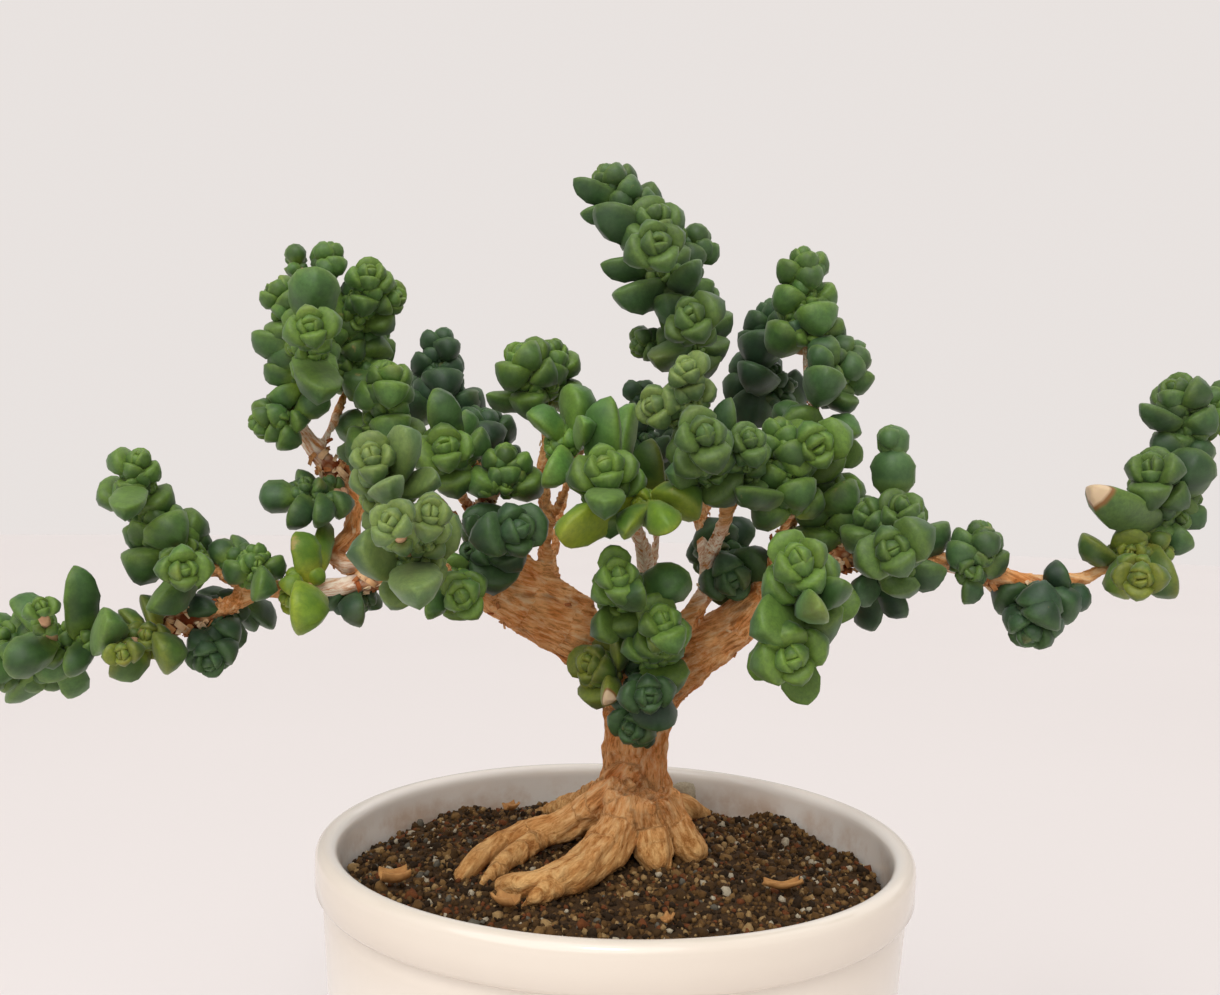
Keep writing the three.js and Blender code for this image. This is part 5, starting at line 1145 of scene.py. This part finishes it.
def leaf_finish(look, deep, face, young):
    finish, tree, shader = new_finish("velvety_leaf_" + look, Roughness=0.5, Specular_IOR_Level=0.4,
                                      Sheen_Weight=0.13, Sheen_Roughness=0.45, Subsurface_Weight=0.1,
                                      Subsurface_Scale=mm(1.2))
    shader.inputs["Subsurface Radius"].default_value = (0.5, 1, 0.25)
    shader.inputs["Sheen Tint"].default_value = linear("#dfeee0")
    where = add(tree, "TexCoord").outputs["Object"]
    kept = add(tree, "Attribute", {"attribute_name": "marks"})
    split = add(tree, "SeparateColor", None, {0: kept.outputs["Color"]})
    cloud = add(tree, "TexNoise", {"Scale": per(3.5), "Detail": 4}, {"Vector": where})
    share = add(tree, "Math", {"operation": "MULTIPLY_ADD", 1: 0.7}, {0: split.outputs[2], 2: add(
        tree, "MapRange", {"From Min": 0.3, "From Max": 0.7, "To Min": -0.1, "To Max": 0.45},
        {0: cloud})})
    face_tone = add(tree, "Mix", {"data_type": "RGBA", 6: linear(deep), 7: linear(face)}, {0: share})
    base = add(tree, "MapRange", {"From Min": 0.5, "From Max": 0.08, "To Max": 0.85}, {0: split.outputs[0]})
    rim = add(tree, "Math", {"operation": "MULTIPLY", 1: 0.3}, {0: split.outputs[1]})
    lighter = add(tree, "Math", {"operation": "MAXIMUM"}, {0: base, 1: rim})
    green = add(tree, "Math", {"operation": "MINIMUM", 1: 0.7}, {0: kept.outputs["Alpha"]})
    fresh = add(tree, "Math", {"operation": "MULTIPLY_ADD", 1: 0.34, "use_clamp": True},
                {0: green, 2: lighter})
    leafy = add(tree, "Mix", {"data_type": "RGBA", 7: linear(young)}, {0: fresh, 6: face_tone})
    # Painted shade: towards the base of a young leaf the colour goes back to the deep green, standing for
    # the shade in the folds of a rosette
    fold_shade_mask = add(tree, "Math", {"operation": "MULTIPLY"}, {0: base, 1: green})
    painted_fold_shade = add(tree, "Math", {"operation": "MULTIPLY", 1: 1.9, "use_clamp": True}, {0: fold_shade_mask})
    leafy = add(tree, "Mix", {"data_type": "RGBA", 7: linear(deep)}, {0: painted_fold_shade, 6: leafy})
    dots = add(tree, "TexNoise", {"Scale": per(0.9), "Detail": 5, "Roughness": 0.75}, {"Vector": where})
    dull = add(tree, "MapRange", {"From Min": 0.4, "From Max": 0.6, "To Min": 0.35, "To Max": 0}, {0: dots})
    dotted = add(tree, "Mix", {"data_type": "RGBA", 7: linear(deep)}, {0: dull, 6: leafy})
    ripe = add(tree, "MapRange", {"From Min": 0.95, "From Max": 1, "To Max": 0.2}, {0: split.outputs[2]})
    end = add(tree, "MapRange", {"From Min": 0.7, "From Max": 1}, {0: split.outputs[0]})
    blush = add(tree, "Math", {"operation": "MULTIPLY"}, {0: ripe, 1: end})
    blushed = add(tree, "Mix", {"data_type": "RGBA", 7: linear("#a0762f")}, {0: blush, 6: dotted})
    scar = add(tree, "TexNoise", {"Scale": per(6), "Detail": 6, "Roughness": 0.6}, {"Vector": where})
    worn = add(tree, "MapRange", {"From Min": 0.7, "From Max": 0.76, "To Max": 0.7}, {0: scar})
    scarred = add(tree, "Mix", {"data_type": "RGBA", 7: linear("#a58a52")}, {0: worn, 6: blushed})
    dead = add(tree, "MapRange", {"From Min": 1.2, "From Max": 1.6}, {0: kept.outputs["Alpha"]})
    browned = add(tree, "MapRange", {"From Min": 0.88, "From Max": 0.905, "To Max": 0.9},
                  {0: split.outputs[0]})
    edge = add(tree, "Math", {"operation": "MULTIPLY"}, {0: dead, 1: browned})
    ringed = add(tree, "Mix", {"data_type": "RGBA", 7: linear("#8a5a30")}, {0: edge, 6: scarred})
    wither = add(tree, "MapRange", {"From Min": 0.915, "From Max": 0.935}, {0: split.outputs[0]})
    dry = add(tree, "Math", {"operation": "MULTIPLY"}, {0: dead, 1: wither})
    withered = add(tree, "Mix", {"data_type": "RGBA", 7: linear("#d2b794")}, {0: dry, 6: ringed})
    tree.links.new(withered.outputs[2], shader.inputs["Base Color"])
    grain = add(tree, "TexNoise", {"Scale": per(0.35), "Detail": 2}, {"Vector": where})
    velvet = add(tree, "Bump", {"Strength": 0.18, "Distance": mm(0.12)}, {"Height": grain})
    tree.links.new(velvet.outputs[0], shader.inputs["Normal"])
    return finish


finishes = {look: leaf_finish(look, *codes) for look, codes in LOOKS.items()}
print(len(finishes), "leaf finishes")

# %% [markdown]
# Now the heads are grown one by one. The leaves are set down grade by grade, then the joints of
# stem, with one more joint down to the nearest bark where a head would hang free. All of it is
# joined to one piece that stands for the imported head.

# %% Grow the heads
total = 0
for number, (name, (look, stem, shoots, leaves)) in enumerate(HEADS.items()):
    head = grow_head(number, look, stem, shoots, leaves)
    parts = []
    for (size, shape), places, tones in zip(GRADES, head.places, head.tones):
        if places:
            parts.append(set_down("foliage_" + name, shape, places, tones))
            parts[-1].data.materials.append(finishes[look])
    ends = [place for core in head.cores for place in core[:2]]
    end = min(ends, key=lambda place: (nearest_wood(place) - place).length)
    foot = nearest_wood(end)
    if (foot - end).length > mm(0.3):
        head.cores.append((foot, end, mm(1.2), mm(1.1)))
    sticks = []
    for a, b, wide_a, wide_b in head.cores:
        across, other = square_to((b - a).normalized())
        sticks.append(frame_of(a, across * 2 * wide_a, other * 2 * wide_a, b - a))
    parts.append(set_down("twigs_" + name, joint, sticks, [(0.5, 0.3)] * len(sticks)))
    parts[-1].data.materials.append(bark)
    foliage = parts[0]
    alone(foliage)
    for part in parts:
        part.select_set(True)
    bpy.ops.object.join()
    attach(foliage, "root")
    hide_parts("leaves_" + name)
    total += sum(len(places) for places in head.places)
for shape in [shape for size, shape in GRADES] + [joint]:
    bpy.data.objects.remove(shape)
print(total, "leaves")

# %% [markdown]
# The grit is a dark mix of pumice, bark and grains of one to two millimetres. Under the loose
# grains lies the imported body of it: a copy of the packed soil, wrapped in a fine skin and
# roughened from above.

# %% The body of the grit
bed = copy_of("soil", "grit_bed")
finish_with(bed, "REMESH", mode="VOXEL", voxel_size=mm(1.4), use_smooth_shade=True)
for vertex in bed.data.vertices:
    if vertex.co.z > mm(86):
        edge = min(1, max(0, math.hypot(vertex.co.x, vertex.co.y) / mm(48) - 0.55) * 3)
        fine = mm(0.6) * noise.noise(vertex.co * per(3))
        vertex.co.z += fine + mm(2.4) * edge * noise.noise(vertex.co * per(13))
damp_soil, tree, shader = new_finish("damp_grit", Roughness=0.95, Specular_IOR_Level=0.2)
where = add(tree, "TexCoord").outputs["Object"]
crumbs = add(tree, "TexNoise", {"Scale": per(1.2), "Detail": 6, "Roughness": 0.7}, {"Vector": where})
soil_tone = add(tree, "Mix", {"data_type": "RGBA", 6: linear("#21160c"), 7: linear("#574027")}, {0: crumbs})
tree.links.new(soil_tone.outputs[2], shader.inputs["Base Color"])
crumble = add(tree, "Bump", {"Strength": 0.8, "Distance": mm(0.6)}, {"Height": crumbs})
tree.links.new(crumble.outputs[0], shader.inputs["Normal"])
bed.data.materials.append(damp_soil)
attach(bed, "root")
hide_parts("soil")
print("bed faces", len(bed.data.polygons))

# %% [markdown]
# Loose grains lie all over the top. One grain is a rough lump, an icosphere with its points
# pushed about. Thousands of copies are dropped on the bed by a seeded draw, turned at random,
# each dark brown, tan, rusty, grey or white. None is dropped where a root already lies.

# %% Finish: grains
grain_stone, tree, shader = new_finish("pumice_and_bark_grains", Roughness=0.9, Specular_IOR_Level=0.25)
where = add(tree, "TexCoord").outputs["Object"]
kept = add(tree, "Attribute", {"attribute_name": "marks"})
split = add(tree, "SeparateColor", None, {0: kept.outputs["Color"]})
kinds = add(tree, "ValToRGB", None, {0: split.outputs[2]})
kinds.color_ramp.interpolation = "CONSTANT"
GRAIN_TONES = [(0, "#332310"), (0.22, "#523a1e"), (0.46, "#6e4f2a"), (0.66, "#8c6a3e"), (0.8, "#7a4624"),
               (0.88, "#b08f5f"), (0.945, "#6f695c"), (0.965, "#c9bca2")]
for k, (place, code) in enumerate(GRAIN_TONES):
    if k > 1:
        kinds.color_ramp.elements.new(place)
    kinds.color_ramp.elements[k].position = place
    kinds.color_ramp.elements[k].color = linear(code)
dust = add(tree, "TexNoise", {"Scale": per(0.5), "Detail": 3}, {"Vector": where})
dusty = add(tree, "Mix", {"data_type": "RGBA", "blend_type": "MULTIPLY", 0: 0.6},
            {6: kinds, 7: add(tree, "ValToRGB", None, {0: dust})})
tree.links.new(dusty.outputs[2], shader.inputs["Base Color"])
pitted = add(tree, "Bump", {"Strength": 0.6, "Distance": mm(0.25)}, {"Height": dust})
tree.links.new(pitted.outputs[0], shader.inputs["Normal"])
print("finish", grain_stone.name)

# %% The loose grains
GRIT_TOP = 89


def lump(name, rounds, rough):
    bpy.ops.object.select_all(action="DESELECT")
    bpy.ops.mesh.primitive_ico_sphere_add(subdivisions=rounds, radius=1)
    grain = made(name)
    bpy.ops.object.mode_set(mode="EDIT")
    bpy.ops.mesh.select_all(action="SELECT")
    bpy.ops.transform.resize(value=(1, 0.82, 0.7))
    bpy.ops.object.mode_set(mode="OBJECT")
    for vertex in grain.data.vertices:
        vertex.co *= 1 + rough * noise.noise(vertex.co * 1.7)
    return grain


def scatter(name, shape, count, smallest, largest, seed, lift):
    draw = draws(seed)
    places, tones = [], []
    room = inside_at(GRIT_TOP) - 0.8
    while len(places) < count:
        r = room * math.sqrt(next(draw))
        turn = 2 * math.pi * next(draw)
        size = smallest + (largest - smallest) * next(draw) ** 2
        spin = [2 * math.pi * next(draw) for _ in range(3)]
        tone, sink = next(draw), next(draw)
        x, y = min(r, room - size) * math.cos(turn), min(r, room - size) * math.sin(turn)
        hit, ground = bed.ray_cast(mm(x, y, 98), Vector((0, 0, -1)))[:2]
        if not hit or ground.z < mm(80):
            continue
        place = ground + mm(0, 0, size * (lift - 0.5 * sink))
        touch, surface, outward = wood.closest_point_on_mesh(place, distance=mm(size * 1.2))[:3]
        if touch and (place - surface).dot(outward) < mm(0.3 * size):
            continue
        turned = Matrix.Rotation(spin[0], 4, "X") @ Matrix.Rotation(spin[1], 4, "Y")
        turned = turned @ Matrix.Rotation(spin[2], 4, "Z")
        places.append(Matrix.Translation(place) @ turned @ Matrix.Scale(mm(size), 4))
        tones.append((tone, 0))
    grains = set_down(name, shape, places, tones)
    grains.data.materials.append(grain_stone)
    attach(grains, "root")
    return grains


crumb = lump("crumb", 1, 0.5)
stone = lump("stone", 2, 0.6)
fine_grains = scatter("fine_grains", crumb, 7000, 0.38, 0.95, 4001, 0.4)
coarse_grains = scatter("coarse_grains", stone, 480, 0.7, 1.35, 4002, 0.3)
print("grains", len(fine_grains.data.polygons) // 20 + len(coarse_grains.data.polygons) // 80)

# %% [markdown]
# A few larger things lie on the grit: two curled orange flakes of old bark, three smaller
# chips and a tan pebble at the back wall. A flake is a plane of a few faces that is curled,
# made ragged, turned in edit mode and given a thickness. The pebble is a lump as above.

# %% Things that lie on the grit
LITTER = [("bark_flake_left", on_ground(395, 882, 90.5), 5, 3.2, 20),
          ("bark_flake_front", on_ground(505, 905, 90), 4.4, 2.6, -35),
          ("rusty_chip", on_ground(782, 888, 90.5), 6.5, 1.7, 12),
          ("small_chip", (8.5, -31, 89.8), 2.8, 1.4, 70), ("back_chip", (-22, 30, 90.3), 3.5, 2, 50)]
rusty_bark, tree, shader = new_finish("fallen_bark", Roughness=0.8, Specular_IOR_Level=0.3)
where = add(tree, "TexCoord").outputs["Object"]
fibres = add(tree, "TexNoise", {"Scale": per(1.1), "Detail": 4}, {"Vector": where})
rusty = add(tree, "Mix", {"data_type": "RGBA", 6: linear("#8a5528"), 7: linear("#cf9d60")}, {0: fibres})
tree.links.new(rusty.outputs[2], shader.inputs["Base Color"])
fibre_relief = add(tree, "Bump", {"Strength": 0.5, "Distance": mm(0.2)}, {"Height": fibres})
tree.links.new(fibre_relief.outputs[0], shader.inputs["Normal"])
for name, spot, long, wide, turn in LITTER:
    bpy.ops.object.select_all(action="DESELECT")
    bpy.ops.mesh.primitive_grid_add(x_subdivisions=8, y_subdivisions=5, size=1)
    flake = made(name)
    for vertex in flake.data.vertices:
        p = vertex.co
        ragged = 1 + 0.35 * noise.noise(Vector((p.x * 3, p.y * 3, spot[0])))
        curl = 2.2 * p.y * p.y * wide + 0.5 * p.x * p.x * long
        vertex.co = mm(p.x * long * ragged, p.y * wide * ragged, curl)
    alone(flake)
    bpy.ops.object.mode_set(mode="EDIT")
    bpy.ops.mesh.select_all(action="SELECT")
    bpy.ops.transform.rotate(value=math.radians(-turn), orient_axis="Z", center_override=(0, 0, 0))
    bpy.ops.transform.translate(value=mm(*spot))
    bpy.ops.object.mode_set(mode="OBJECT")
    finish_with(flake, "SOLIDIFY", thickness=mm(0.45), offset=0)
    bpy.ops.object.shade_smooth()
    flake.data.materials.append(rusty_bark)
    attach(flake, "root")
alone(stone)
pebble_place = Matrix.Translation(mm(15.8, 42, 91.8)) @ Matrix.Scale(mm(3.2), 4)
pebble = set_down("tan_pebble", stone, [pebble_place], [(0.98, 0)])
pebble.data.materials.append(grain_stone)
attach(pebble, "root")
for shape in (crumb, stone):
    bpy.data.objects.remove(shape)
print(len(LITTER), "pieces of litter")

# %% [markdown]
# Old bark lifts off the twigs in small dry scales, most of all at the nodes. One scale is a
# small curled plane. Copies are set on the wood at seeded places where the marks say flaky.

# %% Scales of bark
bpy.ops.object.select_all(action="DESELECT")
bpy.ops.mesh.primitive_grid_add(x_subdivisions=3, y_subdivisions=2, size=1)
scale = made("bark_scale")
for vertex in scale.data.vertices:
    ragged = 1 + 0.5 * noise.noise(vertex.co * 2.3)
    x, y = vertex.co.xy
    vertex.co = (0.7 * x * ragged, 1.3 * y * ragged, 1.1 * x ** 2 + 0.3 * y)
finish_with(scale, "SOLIDIFY", thickness=0.08, offset=0)
SCALES = 500
draw = draws(7001)
places, tones = [], []
polygons = wood.data.polygons
while len(places) < SCALES:
    face = polygons[int(next(draw) * len(polygons))]
    flaky = marks[face.vertices[0]][3]
    if face.center.z < mm(112) or next(draw) > max(flaky, 0.05 if face.center.z > mm(128) else 0.015):
        continue
    size = mm(0.6 + 0.9 * next(draw) * (0.5 + flaky))
    out = face.normal
    across, other = square_to(out)
    turn = 2 * math.pi * next(draw)
    side = across * math.cos(turn) + other * math.sin(turn)
    lean = out * 0.3 * next(draw)
    forward = (out.cross(side) + lean).normalized()
    upward = side.cross(forward)
    places.append(frame_of(face.center + out * mm(0.15), side * size, forward * size, upward * size))
    tones.append((next(draw), 0))
scales = set_down("bark_scales", scale, places, tones)
bpy.data.objects.remove(scale)
dry_scale, tree, shader = new_finish("dry_bark_scales", Roughness=0.8, Specular_IOR_Level=0.3)
kept = add(tree, "Attribute", {"attribute_name": "marks"})
split = add(tree, "SeparateColor", None, {0: kept.outputs["Color"]})
dry = add(tree, "ValToRGB", None, {0: split.outputs[2]})
dry.color_ramp.elements[0].color = linear("#a5592c")
dry.color_ramp.elements[1].color = linear("#f6dfba")
dry.color_ramp.elements.new(0.5).color = linear("#d39a62")
where = add(tree, "TexCoord").outputs["Object"]
fleck = add(tree, "TexNoise", {"Scale": per(0.8), "Detail": 3}, {"Vector": where})
scaly = add(tree, "Bump", {"Strength": 0.4, "Distance": mm(0.15)}, {"Height": fleck})
tree.links.new(dry.outputs[0], shader.inputs["Base Color"])
tree.links.new(scaly.outputs[0], shader.inputs["Normal"])
scales.data.materials.append(dry_scale)
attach(scales, "root")
print(len(places), "scales")

# %% [markdown]
# The pot stands on a plain matt floor in a pale room with soft light from all sides. The room
# is the world's colour: the eye sees it pale, while it lights the tree a little less strongly,
# so that two wide window lights and one ceiling lamp can still shape the leaves.

# %% Floor and light
bpy.ops.object.select_all(action="DESELECT")
bpy.ops.mesh.primitive_circle_add(vertices=96, radius=2.5, fill_type="NGON")
floor = made("studio_floor")
bpy.ops.object.mode_set(mode="EDIT")
bpy.ops.mesh.select_all(action="SELECT")
bpy.ops.mesh.inset(thickness=0.4)
bpy.ops.object.mode_set(mode="OBJECT")
matt_floor, tree, shader = new_finish("matt_pale_floor", Roughness=0.9)
where = add(tree, "TexCoord").outputs["Object"]
cloud = add(tree, "TexNoise", {"Scale": per(400), "Detail": 2}, {"Vector": where})
pale = add(tree, "Mix", {"data_type": "RGBA", 6: linear("#e3dddb"), 7: linear("#e7e1df")}, {0: cloud})
tree.links.new(pale.outputs[2], shader.inputs["Base Color"])
floor.data.materials.append(matt_floor)

world = bpy.data.worlds.new("pale_room")
world.use_nodes = True
air = world.node_tree
seen = add(air, "LightPath")
level = add(air, "MapRange", {"To Min": 0.6, "To Max": 0.92}, {0: seen.outputs["Is Camera Ray"]})
air.nodes["Background"].inputs[0].default_value = linear("#f1ebe8")
air.links.new(level.outputs[0], air.nodes["Background"].inputs[1])
bpy.context.scene.world = world
WINDOWS = [("window_front", (-0.35, -0.8, 1.05), 70, 1.7), ("window_back", (0.5, 0.6, 0.9), 60, 0.5)]
for name, place, spread, strength in WINDOWS:
    lamp = bpy.data.objects.new(name, bpy.data.lights.new(name, "SUN"))
    lamp.data.energy = strength
    lamp.data.angle = math.radians(spread)
    lamp.location = place
    lamp.rotation_mode = "QUATERNION"
    lamp.rotation_quaternion = (-Vector(place)).to_track_quat("-Z", "Y")
    bpy.context.scene.collection.objects.link(lamp)
bulb = bpy.data.objects.new("ceiling_lamp", bpy.data.lights.new("ceiling_lamp", "AREA"))
bulb.data.energy = 0.7
bulb.data.size = 0.12
bulb.location = (-0.03, -0.42, 0.62)
bulb.rotation_mode = "QUATERNION"
bulb.rotation_quaternion = (mm(0, 0, 100) - bulb.location).to_track_quat("-Z", "Y")
bpy.context.scene.collection.objects.link(bulb)
bpy.context.scene.view_settings.view_transform = "Standard"
print("lamps and floor set")

# %% Leave nothing selected
bpy.ops.object.select_all(action="DESELECT")
